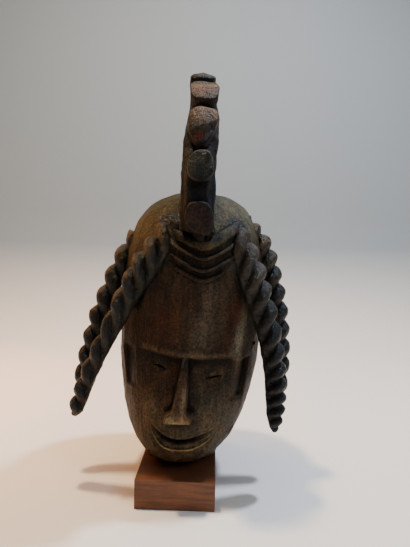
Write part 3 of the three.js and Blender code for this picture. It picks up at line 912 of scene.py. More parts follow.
def make_head(tool_depth):
    """The head with its neck and face, as a solid that is not hollow yet."""
    skin = egg(
        HEAD_HALF_WIDTH,
        HEAD_HALF_DEPTH,
        CHIN_HEIGHT,
        CROWN_HEIGHT,
        CHIN_FORWARD,
        HEAD_COLUMNS,
        HEAD_ROWS,
        FACE_COLUMN_WEIGHT,
    )
    head = make_object("carved_mask", skin)
    push_out(head, head_relief(read_points(head.data) / MM, tool_depth))
    neck = make_object("neck", neck_prism(0, NECK_FOOT, NECK_TOP, NECK_ROWS))
    festoons = [make_object("festoon", festoon(**row)) for row in FESTOONS]
    carve(head, joined=[neck, make_object("nose", nose()), *festoons])
    return head


def hollow_out(head):
    """Empties the head and the neck, and cuts the mouth, the eyes and the holes in the wall."""
    bore = neck_prism(NECK_WALL, NECK_FOOT - BORE_BELOW, NECK_TOP + BORE_ABOVE, BORE_ROWS)
    cut = [
        make_object("hollow", hollow_egg()),
        make_object("bore", bore),
        make_object("mouth", mouth_cut()),
        *(make_object("eye", eye_slit(eye)) for eye in (LEFT_EYE, RIGHT_EYE)),
        *(make_object("hole", wall_hole(**hole)) for hole in WALL_HOLES),
    ]
    carve(head, cut=cut)


# Crest


def crest_edge(angle, out):
    """Depth and height of the fin's edge at an angle, pushed out by a distance."""
    return (
        CREST_CENTRE_DEPTH - (CREST_REACH + out) * np.cos(angle),
        CREST_CENTRE_HEIGHT + (CREST_RISE + out) * np.sin(angle),
    )


def stand_in_crest(side, depth, height):
    """Sways points laid out around the crest's middle plane, and bends them."""
    sway = smooth_step(height, CREST_SWAY_START, CREST_SWAY_END)
    return bend(side + mix(CREST_OFFSET_LOW, CREST_OFFSET_TOP, sway), depth, height)


def crest_fin():
    """The fin: rays from a root inside the head out to the half ellipse of its edge."""

    def place(along, across, out):
        angle = mix(*FIN_ANGLES, along)
        sunk = FIN_BEVEL * np.abs(2 * across - 1) ** 8
        edge_depth, edge_height = crest_edge(angle, -sunk)
        share = mix(CREST_ROOT_SHARE, 1, out)
        depth = CREST_CENTRE_DEPTH + (edge_depth - CREST_CENTRE_DEPTH) * share
        height = CREST_ROOT_HEIGHT + (edge_height - CREST_ROOT_HEIGHT) * share
        thin = 1 - FIN_THINNING * smooth_step(height, FIN_THINNING_START, FIN_THINNING_END)
        half = (FIN_THICKNESS / 2 + FIN_BEVEL) * thin
        rounded = 1 - 0.2 * smooth_step(out, 0.93, 1)
        return stand_in_crest((2 * across - 1) * half * rounded, depth, height)

    return shaped_box(cells=(140, 14, 40), place=place)


def crest_wedge():
    """The fin's foot on the head: a wedge that narrows to a point between the festoons."""

    def place(across, up, out):
        height = mix(WEDGE_FOOT, WEDGE_TOP, up)
        half = mix(WEDGE_FOOT_HALF_WIDTH, WEDGE_HALF_WIDTH, up)
        round_over = 1 - 0.5 * np.abs(2 * across - 1) ** 4
        proud = mix(WEDGE_FOOT_PROUD, WEDGE_PROUD, up) * round_over
        side = WEDGE_SIDE + (2 * across - 1) * half
        return on_head(side, height, mix(-WEDGE_SUNK, proud, out))

    return shaped_box(cells=(10, 20, 3), place=place)


def crest_lobe(degrees, length, width, taper=0, side=0, corner=0.8, dome=1):
    """An oval pad on the fin's edge whose face looks out from it.

    The face is nearly flat, or rises to its middle with the dome. A tapered pad is narrower
    at its lower end, and a smaller corner power makes it squarer.
    """
    angle = math.radians(degrees)
    middle = np.array(crest_edge(angle, 0))
    along = np.array(crest_edge(angle + 0.01, 0)) - np.array(crest_edge(angle - 0.01, 0))
    along /= np.linalg.norm(along)
    rings = [(0, -LOBE_SUNK), (LOBE_ROOT_SHARE, -LOBE_SUNK), *LOBE_FLANK]
    rings += [(size, LOBE_PROUD + dome * (1 - size) ** 0.7) for size in LOBE_FACE_SHARES]
    turn = np.linspace(0, 2 * math.pi, 65)[:-1]
    points = []
    for size, out in rings:
        rise = size * signed_power(np.sin(turn), corner)
        lift = 0.5 * length * rise
        half = 0.5 * width * size * (1 + taper * (rise - 0.4))
        points.append(
            stand_in_crest(
                side + half * signed_power(np.cos(turn), corner),
                middle[0] + along[0] * lift - along[1] * out,
                middle[1] + along[1] * lift + along[0] * out,
            )
        )
    return closed_surface(np.array(points))


def slab_crack(side, depth, height):
    """1 along the crack that wanders across the worn front of the second lobe from the top."""
    wander = height - CRACK_HEIGHT + 0.3 * side + 2 * np.sin(side / 4)
    above = height - CRACK_BRANCH_STARTS
    branch = (height - CRACK_BRANCH_HEIGHT - 0.9 * side) * smooth_step(above, 0, 2)
    lines = np.maximum(bell(wander, 1.3), 0.7 * bell(branch, 1.5) * smooth_step(above, 0, 3))
    within = smooth_step(CRACK_HALF_SPAN - np.abs(side), 0, 4)
    return lines * smooth_step(-depth, 45, 55) * within


def lobe_facet(side, depth, height):
    """1 below the slanting edge where the third lobe from the top was cut back."""
    below = smooth_step(FACET_HEIGHT + FACET_SLANT * side - height, 0, 6)
    return below * smooth_step(height - FACET_FOOT, 0, 6) * smooth_step(-depth, 70, 82)


def make_crest(tool_depth):
    """The fin with its wedge and lobes, worn by the tool."""
    back = [
        {
            "degrees": BACK_LOBE_FIRST + row * BACK_LOBE_STEP,
            "length": BACK_LOBE_LENGTH,
            "width": BACK_LOBE_WIDTH,
            "dome": BACK_LOBE_DOME,
        }
        for row in range(BACK_LOBE_COUNT)
    ]
    lobes = [make_object("lobe", crest_lobe(**lobe)) for lobe in FRONT_LOBES + back]
    crest = make_object("crest", crest_fin())
    carve(crest, joined=[make_object("wedge", crest_wedge()), *lobes])
    points = read_points(crest.data) / MM
    worn = tool_depth * scoops(points, **CREST_SCOOPS) + waves(points, CREST_WAVES)
    places = unbend(points)
    push_out(crest, worn - CRACK_DEPTH * slab_crack(*places) - FACET_DEPTH * lobe_facet(*places))
    return crest


# Braids


def value_at(values, share):
    """A value given at equal steps of a braid's length, read off at shares of it."""
    return np.interp(share, np.linspace(0, 1, len(values)), values)


def curve_through(route, count):
    """Points at equal steps along a smooth curve through a route.

    Each span is a centripetal Catmull-Rom piece: the knots lie apart by the square root of the
    distance, and the outermost points are mirrored to guide the ends.
    """
    route = np.array(route, float)
    route = np.vstack([2 * route[0] - route[1], route, 2 * route[-1] - route[-2]])
    knots = np.concatenate([[0], np.cumsum(np.linalg.norm(np.diff(route, axis=0), axis=1) ** 0.5)])
    path = []
    for span in range(1, len(route) - 2):
        at = np.linspace(knots[span], knots[span + 1], 80)[:, None]
        knot = knots[span - 1 : span + 3]
        level = route[span - 1 : span + 3]
        for apart in (1, 2):
            level = [
                mix(level[j], level[j + 1], (at - knot[j]) / (knot[j + apart] - knot[j]))
                for j in range(4 - apart)
            ]
        path.append(mix(level[0], level[1], (at - knot[1]) / (knot[2] - knot[1])))
    path = np.vstack(path)
    run = np.concatenate([[0], np.cumsum(np.linalg.norm(np.diff(path, axis=0), axis=1))])
    wanted = np.linspace(0, run[-1], count)
    return np.stack([np.interp(wanted, run, axis) for axis in path.T], axis=-1), run[-1]


def rope_radius(angle):
    """Radius of a three-strand rope at an angle: the nearest strand bulges like a circle."""
    half = math.pi / STRANDS
    off_strand = (angle + half) % (2 * half) - half
    cosine = STRAND_OFFSET * np.cos(off_strand)
    return cosine + np.sqrt(STRAND_RADIUS**2 - (STRAND_OFFSET * np.sin(off_strand)) ** 2)


def braid(handed, phase, tip_share, radii, pitches, steepness, route):
    """A twisted rope swept along its route; the strands turn by a third each pitch.

    The strands are counted round the rope from its outer side, so q is whole on a strand's
    crown: q = (3 (outer - turn) + s f (spin - outer)) / 2 pi, with the steepness s and with f
    from 0.6 on the outer side, where the strands lie flatter, to 1. They fade towards the
    inner side, where the count would not close, into a plain round back.
    """
    path, length = curve_through(route, BRAID_ROWS)
    share = np.linspace(0, 1, BRAID_ROWS)
    slices = 1 / value_at(pitches, (share[1:] + share[:-1]) / 2) * length / (BRAID_ROWS - 1)
    passed = np.concatenate([[0], np.cumsum(slices)])
    turn = math.radians(phase) + handed * 2 * math.pi / STRANDS * passed
    end = np.clip((share - (1 - tip_share)) / tip_share, 0, 1)
    thickness = value_at(radii, share) * np.sqrt(1 - end * end)
    thickness[0] = 0
    along = np.gradient(path, axis=0)
    along /= np.linalg.norm(along, axis=1)[:, None]
    across = np.cross(along, [0, 1, 0])
    across /= np.linalg.norm(across, axis=1)[:, None]
    front = np.cross(across, along)
    off_outer = np.linspace(-math.pi, math.pi, BRAID_SIDES + 1)[:-1]
    outer = math.pi if handed > 0 else 0
    spin = outer + off_outer
    flatter = OUTER_SHARE + (1 - OUTER_SHARE) * np.minimum((2 * off_outer / math.pi) ** 2, 1)
    steep = value_at(steepness, share)[:, None]
    count = STRANDS * (outer - turn)[:, None] + steep * (flatter * off_outer)[None, :]
    bulge = rope_radius(count / STRANDS)
    inner = smooth_step(-np.cos(off_outer), 0.55, 1)[None, :]
    radius = thickness[:, None] * mix(bulge, INNER_RADIUS, inner)
    points = (
        path[:, None, :]
        + across[:, None, :] * (radius * np.cos(spin))[..., None]
        + front[:, None, :] * (radius * np.sin(spin))[..., None]
    )
    return closed_surface(points)


def make_braid(sizes, tool_depth, seed):
    """One braid, worn by the tool."""
    shape = {key: value for key, value in sizes.items() if key != "name"}
    made = make_object(sizes["name"], braid(**shape))
    points = read_points(made.data) / MM
    cuts = BRAID_SCOOP_SHARE * tool_depth * scoops(points, **BRAID_SCOOPS, seed=seed)
    push_out(made, cuts + waves(points, [(*layer, seed) for layer in BRAID_WAVES]))
    return made


# Whole carving


def thin_out(obj, triangles):
    """Merges the smallest faces of a mesh until it has about a number of triangles."""
    obj.data.calc_loop_triangles()
    count = len(obj.data.loop_triangles)
    if count > triangles:
        modifier = obj.modifiers.new("Thin out", "DECIMATE")
        modifier.ratio = triangles / count
        bake_modifiers(obj)


def fit_in_box(obj, nodes):
    """Eases the few points that stick out of the nodes' common box back inside it."""
    corners = np.array([[list(corner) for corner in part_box(node)] for node in nodes])
    low, high = corners[:, 0].min(0), corners[:, 1].max(0)
    points = read_points(obj.data)
    points = high - soft_floor(high - points, BOX_SOFTNESS * MM)
    write_points(obj.data, low + soft_floor(points - low, BOX_SOFTNESS * MM))


def head_distance(side, depth, height):
    """About how far points of the straight layout are outside the bare head, in millimetres."""
    share = np.clip(level_share(height, CHIN_HEIGHT, CROWN_HEIGHT), -1, 1)
    size = np.maximum(round_at(share), 0.05)
    across = np.abs(side) / (HEAD_HALF_WIDTH * size)
    reach = np.abs(depth - centre_depth_at(share, CHIN_FORWARD)) / (HEAD_HALF_DEPTH * size)
    level = (across**SECTION_POWER + reach**SECTION_POWER) ** (1 / SECTION_POWER)
    return np.maximum((level - 1) * HEAD_HALF_WIDTH * size, height - CROWN_HEIGHT)


def crest_share(points):
    """1 on the crest, 0 on the head."""
    side, depth, height = unbend(points)
    proud = smooth_step(head_distance(side, depth, height), 1.5, 4)
    proud = proud * smooth_step(CREST_HALF_SPAN - np.abs(side), 0, 6)
    return proud * smooth_step(height, *CREST_STARTS)


def braid_share(points):
    """1 on a braid, 0 away from it: how near a point is to a braid's middle line, in radii."""
    total = np.zeros(len(points))
    for sizes in BRAIDS:
        path, _ = curve_through(sizes["route"], count=90)
        radii = value_at(sizes["radii"], np.linspace(0, 1, len(path)))
        near = np.full(len(points), np.inf)
        for middle, radius in zip(path, radii):
            near = np.minimum(near, np.linalg.norm(points - middle, axis=1) / radius)
        total = np.maximum(total, 1 - smooth_step(near, 1.05, 1.25))
    return total


def build_mask(material, tool_depth, triangles, head_colour, hair_colour):
    """The whole mask as one closed surface: head, crest and braids are one piece of wood."""
    mask = make_head(tool_depth)
    braids = [
        make_braid(sizes, tool_depth, FIRST_BRAID_SEED + row) for row, sizes in enumerate(BRAIDS)
    ]
    carve(mask, joined=[make_crest(tool_depth), *braids])
    hollow_out(mask)
    thin_out(mask, triangles)
    fit_in_box(mask, CARVED_NODES)
    store_relief(mask, RELIEF_ROUNDS)
    points = read_points(mask.data) / MM
    crest, braided = crest_share(points), braid_share(points)
    tone = mix(head_tone(points, head_colour), crest_tone(points, hair_colour), crest[:, None])
    only_braid = (braided * (1 - crest))[:, None]
    store_tone(mask, mix(tone, braid_tone(points, hair_colour), only_braid))
    store_value(mask, "gloss", np.maximum(CREST_GLOSS * crest, braided))
    finish_piece(mask, material, CARVED_NODES, MASK_SHARP_DEGREES)


# Wood block


def build_block(material, width, depth, height, edge):
    """The block, its faces planed flat with slightly worn edges."""
    half = np.array([width / 2, depth / 2])

    def place(across, along, up):
        side = np.stack([2 * across - 1, 2 * along - 1], axis=-1) * half
        level = up * height
        return np.concatenate([side, level[:, None]], axis=-1)

    block = make_object("display_block", shaped_box(cells=(40, 80, 15), place=place))
    bevel = block.modifiers.new("Worn edges", "BEVEL")
    bevel.width = edge * MM
    bevel.segments = 3
    bevel.limit_method = "ANGLE"
    finish_piece(block, material, ["wood_block"], BLOCK_SHARP_DEGREES)


# Colours


def linear(code):
    """Linear red, green and blue of a hex colour given in sRGB."""
    parts = np.array([int(code[i : i + 2], 16) for i in (1, 3, 5)]) / 255
    return np.where(parts <= 0.04045, parts / 12.92, ((parts + 0.055) / 1.055) ** 2.4)


def lay_over(tone, colour, share):
    """A tone for each vertex with a colour laid over it, as far as each vertex's share."""
    return tone + (linear(colour) - tone) * share[:, None]


def blend_zones(start, places, zones):
    """Lays soft zones of colour over a start colour, one after the other.

    Each zone is a colour, a middle and a reach in side, depth and height, and a strength. It
    fades like a bell, and where its reach is missing it runs through in that direction.
    """
    tone = np.tile(np.array(start[:3]), (len(places[0]), 1))
    for colour, middle, reach, strength in zones:
        far = 0
        for place, centre, size in zip(places, middle, reach):
            if size is not None:
                far = far + ((place - centre) / size) ** 2
        tone = lay_over(tone, colour, strength * np.exp(-far))
    return tone


HEAD_ZONES = [
    # Left and right of the dome: olive on the left, and greyer on the right with a painted sheen
    ("#433d27", (-55, 0, 372), (60, None, 50), 0.95),
    ("#595643", (50, 0, 370), (50, None, 50), 0.85),
    # Forehead, its right edge greyed by a painted sheen, a reddish band, and a painted highlight on
    # the flat facet of the temple beside it
    ("#331d0c", (-30, -80, 225), (36, 60, 50), 0.9),
    ("#3a3023", (18, -80, 225), (22, 60, 55), 0.85),
    ("#32180b", (54, -60, 240), (10, 60, 50), 0.85),
    ("#625d4e", (66, -60, 210), (7, 60, 42), 0.85),
    # Cheeks, and painted shade on the eye planes under the brow
    ("#4c3a25", (-40, -80, 105), (40, 60, 40), 0.85),
    ("#474032", (40, -80, 90), (40, 60, 45), 0.85),
    ("#2b170b", (-42, -80, 158), (24, 60, 16), 0.75),
    ("#2c2518", (40, -80, 168), (24, 60, 10), 0.7),
    # Nose, a painted highlight on its ridge, the painted shadow under it, and its worn tip, painted
    # lighter as lit
    ("#33251a", (-4, -105, 140), (9, 16, 45), 0.85),
    ("#6d6150", (2, -105, 135), (3.5, 14, 28), 0.6),
    ("#120b06", (-3, -84, 102), (17, 16, 7), 0.85),
    ("#a8916c", (-4, -109, 113), (16, 12, 2.5), 0.85),
    # Darker in the left ear, and painted shade in and around the two holes in the jaw
    ("#0d0705", (-76, -30, 165), (10, 60, 27), 0.95),
    ("#020101", (-75, -30, 178), (5, 60, 7), 0.95),
    ("#050302", (65.5, -60, 84.2), (5, 60, 5), 0.9),
    ("#050302", (-42.3, -60, 57.8), (6, 60, 3), 0.8),
    # Painted sheen on the ridge of the forehead
    ("#4c463d", (14, -90, 238), (9, 40, 38), 0.55),
    # Painted shade in the eyes
    ("#120a06", (-34, -80, 171), (14, 60, 5), 0.85),
    ("#0c0705", (38, -80, 160), (14, 60, 3), 0.95),
    # Bare edge of the right ear, and darker in its recess
    ("#3c1f12", (65, -30, 165), (4, 60, 20), 0.7),
    ("#0c0705", (77, -30, 153), (9, 60, 27), 0.92),
    # Painted shade inside the mouth
    ("#060403", (1, -90, 81), (36, 60, 4.5), 0.8),
    # Neck, worn to the raw wood
    ("#5e2f12", (0, 30, 38), (None, 62, 22), 0.95),
]


def head_tone(points, base):
    """Patina of the head: olive on the dome, warm on the forehead, grey on cheeks and chin, with
    painted sheen on the right of the dome and the forehead and painted shade in the eyes and the
    mouth.

    The brow is worn lighter, the rim of the lower lip is worn lighter with a painted highlight, and
    painted shade lies under the brow.
    """
    side, depth, height = unbend(points)
    tone = blend_zones(base, (side, depth, height), HEAD_ZONES)
    front = smooth_step(-depth, 20, 50)
    brow = smooth_step(BROW_HALF_SPAN - np.abs(side), 0, 14) * front
    over_brow = height - brow_line(side)
    worn = 0.35 + 0.25 * smooth_noise(points, 12, 9)
    _, foot, share = mouth_lines(side)
    lip = smooth_step(1 - np.abs(share), 0, 0.2) * front
    # Painted shade under the brow
    tone = lay_over(tone, "#0f0905", 0.7 * brow * bell(over_brow + 5, 6))
    tone = lay_over(tone, "#5c4a35", worn * brow * bell(over_brow - 4, 3))
    # The rim of the lower lip worn lighter, with a painted highlight where it is lit
    return lay_over(tone, "#8a7553", 0.55 * lip * bell(height - foot + 1, 1.6))


CREST_ZONES = [
    # Top of the crest, olive and painted lit from above, and painted shade in the gap under its
    # first lobe
    ("#4f4b31", (0, 0, 566), (None, 60, 6), 0.9),
    ("#070504", (0, -46, 543), (None, 16, 10), 0.97),
    # Second lobe, its worn edge, and painted shade in the gap under it
    ("#4a2e0d", (0, -62, 521), (None, 16, 12), 0.95),
    ("#8a6432", (0, -60, 530), (None, 16, 2.5), 0.5),
    ("#6e4a1c", (-8, -62, 525), (8, 16, 4), 0.5),
    ("#0b0604", (0, -58, 502), (None, 30, 6), 0.97),
    # Third lobe from its worn top down to its underside in painted shade, and painted shade in the
    # gap under it
    ("#8a6a40", (0, -66, 493), (None, 20, 4), 0.8),
    ("#5a4428", (0, -80, 483), (None, 25, 8), 0.85),
    ("#3c372c", (6, -85, 469), (12, 25, 7), 0.8),
    ("#1f0f06", (0, -88, 451), (None, 25, 8), 0.9),
    ("#6e3510", (-3, -90, 458), (6, 25, 5), 0.75),
    ("#060302", (0, -92, 444), (None, 30, 7), 0.97),
    # Fourth lobe, painted shade in the gap under it, and the fifth lobe
    ("#34342a", (0, -98, 424), (None, 20, 15), 0.85),
    ("#090807", (0, -95, 397), (None, 20, 6), 0.85),
    ("#2a1c15", (0, -100, 360), (None, 20, 18), 0.8),
    # Right face of the fin with a cool painted reflection, and the left face
    ("#141c24", (17, -70, 385), (7, 60, 40), 0.75),
    ("#35342b", (-18, -60, 430), (5, 80, 60), 0.7),
]


def crest_tone(points, base):
    """Patina of the crest: tan where the upper lobes are worn and dark in their crack, with painted
    light on its top and painted shade in the gaps under the lobes.
    """
    places = unbend(points)
    tone = blend_zones(base, places, CREST_ZONES)
    return lay_over(tone, "#150b05", 0.85 * slab_crack(*places))


BRAID_ZONES = [
    # Roots, a grey painted highlight on the top of the right front braid, and the tips darker
    ("#3a2f1c", (0, 0, 335), (None, None, 30), 0.6),
    ("#45433d", (75, -60, 300), (35, 60, 40), 0.6),
    ("#0b0a08", (0, 0, 140), (None, None, 90), 0.6),
]


def braid_tone(points, base):
    """Tones of a braid: lighter at the root, a painted highlight on the right front braid's top, and
    darker towards the tip.
    """
    return blend_zones(base, unbend(points), BRAID_ZONES)


# Materials


def add_node(tree, kind, inputs=None, **settings):
    """Adds a node, sets its properties, and sets or links its inputs."""
    node = tree.nodes.new(kind)
    for name, value in settings.items():
        setattr(node, name, value)
    for name, value in (inputs or {}).items():
        socket = node.inputs[name]
        if isinstance(value, bpy.types.NodeSocket):
            tree.links.new(value, socket)
        else:
            socket.default_value = value
    return node


def start_material(name):
    """A node material and its empty tree."""
    material = bpy.data.materials.new(name)
    material.use_nodes = True
    material.node_tree.nodes.clear()
    return material, material.node_tree


def rgba(code):
    return (*linear(code), 1.0)


def add_noise(tree, place, scale, detail, roughness):
    """Noise of a number of cells to the metre."""
    inputs = {"Vector": place, "Scale": scale, "Detail": detail, "Roughness": roughness}
    return add_node(tree, "ShaderNodeTexNoise", inputs).outputs["Fac"]


def add_range(tree, value, low, high, to_low=0.0, to_high=1.0):
    """A value's place between two others, carried to another range and held inside it."""
    inputs = {"Value": value, "From Min": low, "From Max": high, "To Min": to_low, "To Max": to_high}
    return add_node(tree, "ShaderNodeMapRange", inputs).outputs["Result"]


def add_math(tree, operation, first, second):
    node = add_node(tree, "ShaderNodeMath", {0: first, 1: second}, operation=operation)
    return node.outputs["Value"]


def add_blend(tree, share, first, second):
    """A colour between two others; the sockets share their names and are taken by place."""
    inputs = {0: share, 6: first, 7: second}
    return add_node(tree, "ShaderNodeMix", inputs, data_type="RGBA").outputs[2]


def add_tint(tree, colour, tint):
    """A colour with its red, green and blue multiplied by a tint's."""
    node = add_node(tree, "ShaderNodeVectorMath", {0: colour, 1: tint}, operation="MULTIPLY")
    return node.outputs["Vector"]


def add_scale(tree, colour, scale):
    """A colour made lighter or darker by a scale."""
    inputs = {0: colour, "Scale": scale}
    return add_node(tree, "ShaderNodeVectorMath", inputs, operation="SCALE").outputs["Vector"]


def add_place(tree, stretch=None):
    """Places on the object in metres, squeezed by a stretch so that patterns get longer."""
    place = add_node(tree, "ShaderNodeTexCoord").outputs["Object"]
    if stretch is None:
        return place
    return add_node(tree, "ShaderNodeMapping", {"Vector": place, "Scale": stretch}).outputs["Vector"]


def add_bump(tree, height, strength, distance):
    inputs = {"Strength": strength, "Distance": distance, "Height": height}
    return add_node(tree, "ShaderNodeBump", inputs).outputs["Normal"]


def add_surface(tree, inputs):
    """The material's surface, from what goes into its shader."""
    surface = add_node(tree, "ShaderNodeBsdfPrincipled", inputs)
    add_node(tree, "ShaderNodeOutputMaterial", {"Surface": surface.outputs["BSDF"]})


def read_attribute(tree, name, output="Fac"):
    """What is kept on the vertices under a name."""
    return add_node(tree, "ShaderNodeAttribute", attribute_name=name).outputs[output]


def patinated_wood():
    """Carved hardwood with a dark patina: grime and painted shade in the hollows, worn lighter on
    the ridges.
    """
    material, tree = start_material("Carved hardwood, dark patina")
    tone = read_attribute(tree, "tone", "Color")
    relief = read_attribute(tree, "relief")
    handled = read_attribute(tree, "gloss")
    place = add_place(tree)
    upright = add_place(tree, (1, 1, 0.12))
    grain = add_noise(tree, upright, 420, 4, 0.6)
    streaks = add_noise(tree, upright, 95, 3, 0.6)
    patches = add_noise(tree, place, 26, 4, 0.6)
    mottle = add_noise(tree, add_place(tree, (1, 1, 0.4)), 85, 5, 0.7)
    pores = add_noise(tree, place, 300, 3, 0.7)

    # Reddish where oil and dust rubbed off, olive where they stayed
    reddish = add_tint(tree, tone, (1.16, 0.94, 0.78))
    olive = add_tint(tree, tone, (0.92, 1.01, 0.96))
    hue = add_blend(tree, add_range(tree, patches, 0.38, 0.62), olive, reddish)
    light = add_range(tree, mottle, 0.3, 0.7, 0.5, 1.5)
    streak = add_range(tree, streaks, 0.3, 0.7, 0.65, 1.35)
    fleck = add_range(tree, pores, 0.35, 0.65, 0.5, 1.6)
    strength = add_math(tree, "MULTIPLY", add_math(tree, "MULTIPLY", light, streak), fleck)
    wood = add_scale(tree, hue, strength)

    # Grime and painted shade in the hollows, bare wood on the ridges
    in_hollow = add_range(tree, relief, -0.05, -1.1, 0, 0.9)
    grime_and_shade = add_blend(tree, in_hollow, wood, rgba("#080503"))
    on_ridge = add_range(tree, relief, 0.4, 1.5, 0, 0.4)
    worn_share = add_math(tree, "MULTIPLY", on_ridge, add_range(tree, mottle, 0.5, 0.6))
    colour = add_blend(tree, worn_share, grime_and_shade, rgba("#6a5538"))

    height = add_math(tree, "ADD", add_math(tree, "ADD", grain, pores), mottle)
    matt = add_range(tree, mottle, 0.3, 0.7, 0.38, 0.62)
    add_surface(
        tree,
        {
            "Base Color": colour,
            "Roughness": add_math(tree, "MULTIPLY", matt, add_range(tree, handled, 0, 1, 1, 0.8)),
            "IOR": WOOD_IOR,
            "Specular IOR Level": add_range(tree, handled, 0, 1, 0.12, 0.28),
            "Normal": add_bump(tree, height, 0.9, 0.002),
        },
    )
    return material


def block_wood(dark_grain, light_grain):
    """Reddish wood, planed and oiled, with fine lines of grain along it."""
    material, tree = start_material("Reddish planed wood")
    lines = add_noise(tree, add_place(tree, (0.08, 0.08, 1)), 330, 4, 0.6)
    clouds = add_noise(tree, add_place(tree), 30, 3, 0.6)
    light_share = add_range(tree, lines, 0.35, 0.65)
    grain = add_blend(tree, light_share, (*dark_grain, 1.0), (*light_grain, 1.0))
    wood = add_scale(tree, grain, add_range(tree, clouds, 0.3, 0.7, 0.8, 1.2))
    normal = add_bump(tree, lines, 0.4, 0.0004)
    add_surface(tree, {"Base Color": wood, "Roughness": 0.6, "IOR": WOOD_IOR, "Normal": normal})
    return material


def plain_paint(floor_colour, wall_colour):
    """Matt pale paint that turns from the floor's colour to the wall's over the curved foot."""
    material, tree = start_material("Pale matt paint")
    height = add_node(tree, "ShaderNodeSeparateXYZ", {"Vector": add_place(tree)}).outputs["Z"]
    on_wall = add_range(tree, height, 0.0, 0.35)
    colour = add_blend(tree, on_wall, (*floor_colour, 1.0), (*wall_colour, 1.0))
    add_surface(tree, {"Base Color": colour, "Roughness": 0.9})
    return material


# Stage


def build_floor(paint):
    """A floor that curves up into a back wall: a profile drawn out sideways."""
    near, back, top = -1500, 1300, 2600
    half_width = 3000
    bend_radius = 500
    arc = np.linspace(0, math.pi / 2, 24)
    depth = np.concatenate([[near], back - bend_radius + bend_radius * np.sin(arc), [back]])
    height = np.concatenate([[0], bend_radius - bend_radius * np.cos(arc), [top]])
    side = np.tile([-half_width, half_width], len(depth))
    points = np.stack([side, np.repeat(depth, 2), np.repeat(height, 2)], axis=-1)
    mesh = bpy.data.meshes.new("studio_floor")
    mesh.from_pydata((points * MM).tolist(), [], grid_quads(len(depth), 2).tolist())
    mesh.shade_smooth()
    mesh.materials.append(paint)
    floor = add_to_scene("studio_floor", mesh)


def add_light(name, place, target, size, watts, colour):
    """A soft square light in metres that looks at a target."""
    data = bpy.data.lights.new(name, "AREA")
    data.shape = "SQUARE"
    data.size = size
    data.energy = watts
    data.color = linear(colour)
    light = add_to_scene(name, data)
    light.location = place
    light.rotation_mode = "QUATERNION"
    light.rotation_quaternion = (Vector(target) - Vector(place)).to_track_quat("-Z", "Y")


def build_lights(warm_power, cool_power, ceiling_power, room_strength):
    """Lights high over the mask, warm on the left and cool on the right, in a dim room."""
    middle = (0, 0, 0.2)
    add_light("warm_light", (-0.35, 0, 2), middle, 0.12, warm_power, "#ffe0b8")
    add_light("cool_light", (0.7, 0.2, 1.9), middle, 0.12, cool_power, "#d6e4ff")
    add_light("floor_lamp", (-0.62, 0.3, 0.55), (-0.62, 0.3, 0), 0.3, warm_power / 7, "#ffa23c")
    add_light("ceiling_light", (0, -0.2, 2.3), (0, -0.1, 0), 1.4, ceiling_power, "#ffffff")
    add_light("window_light", (1.1, -0.9, 1.2), middle, 0.4, cool_power / 5, "#bcd6ff")
    world = bpy.data.worlds.new("pale_room")
    world.use_nodes = True
    sky = world.node_tree.nodes["Background"]
    sky.inputs["Color"].default_value = rgba("#e2e8ee")
    sky.inputs["Strength"].default_value = room_strength
    bpy.context.scene.world = world


def build_camera(lens):
    """The photograph's camera, set from its place and its three angles."""
    yaw, pitch, roll = (math.radians(a) for a in (CAMERA_YAW, CAMERA_PITCH, CAMERA_ROLL))
    flat = math.cos(pitch)
    ahead = Vector((-math.sin(yaw) * flat, math.cos(yaw) * flat, -math.sin(pitch)))
    level = Vector((math.cos(yaw), math.sin(yaw), 0))
    upward = level.cross(ahead)
    right = math.cos(roll) * level + math.sin(roll) * upward
    top = -math.sin(roll) * level + math.cos(roll) * upward
    data = bpy.data.cameras.new("photo_camera")
    data.lens = lens
    data.sensor_width = CAMERA_SENSOR
    camera = add_to_scene("photo_camera", data)
    axes = Matrix((right, top, -ahead)).transposed().to_4x4()
    camera.matrix_world = Matrix.Translation(Vector(CAMERA_PLACE) * MM) @ axes
    bpy.context.scene.camera = camera


# Add-on


def colour_setting(name, description, code):
    """A colour to choose, which starts from a hex colour given in sRGB."""
    return FloatVectorProperty(
        name=name,
        description=description,
        default=tuple(linear(code)),
        subtype="COLOR",
        min=0,
        max=1,
    )


def power_setting(name, description, watts):
    return FloatProperty(name=name, description=description, default=watts, min=0, unit="POWER")


class MaskSettings(bpy.types.PropertyGroup):
    """What a user would change on the carved mask."""

    tool_depth: FloatProperty(
        name="Tool mark depth",
        description="How deep the scoops of the carving tool are between their ridges",
        default=0.0008,
        min=0,
        max=0.002,
        unit="LENGTH",
    )
    triangles: IntProperty(
        name="Triangles",
        description="About how many triangles the finished carving keeps",
        default=190000,
        min=20000,
        max=199000,
    )
    head_colour: colour_setting("Head", "Colour of the patina on the head", "#2a1f14")
    hair_colour: colour_setting(
        "Crest and braids", "Colour of the patina on the crest and the braids", "#12110c"
    )


class BlockSettings(bpy.types.PropertyGroup):
    """What a user would change on the wood block."""

    edge: FloatProperty(
        name="Worn edge",
        description="Width of the worn edges",
        default=0.001,
        min=0.0001,
        max=0.01,
        unit="LENGTH",
    )
    dark_grain: colour_setting("Dark grain", "Colour of the dark lines of the grain", "#512a10")
    light_grain: colour_setting("Light grain", "Colour of the wood between the lines", "#6e3e1b")


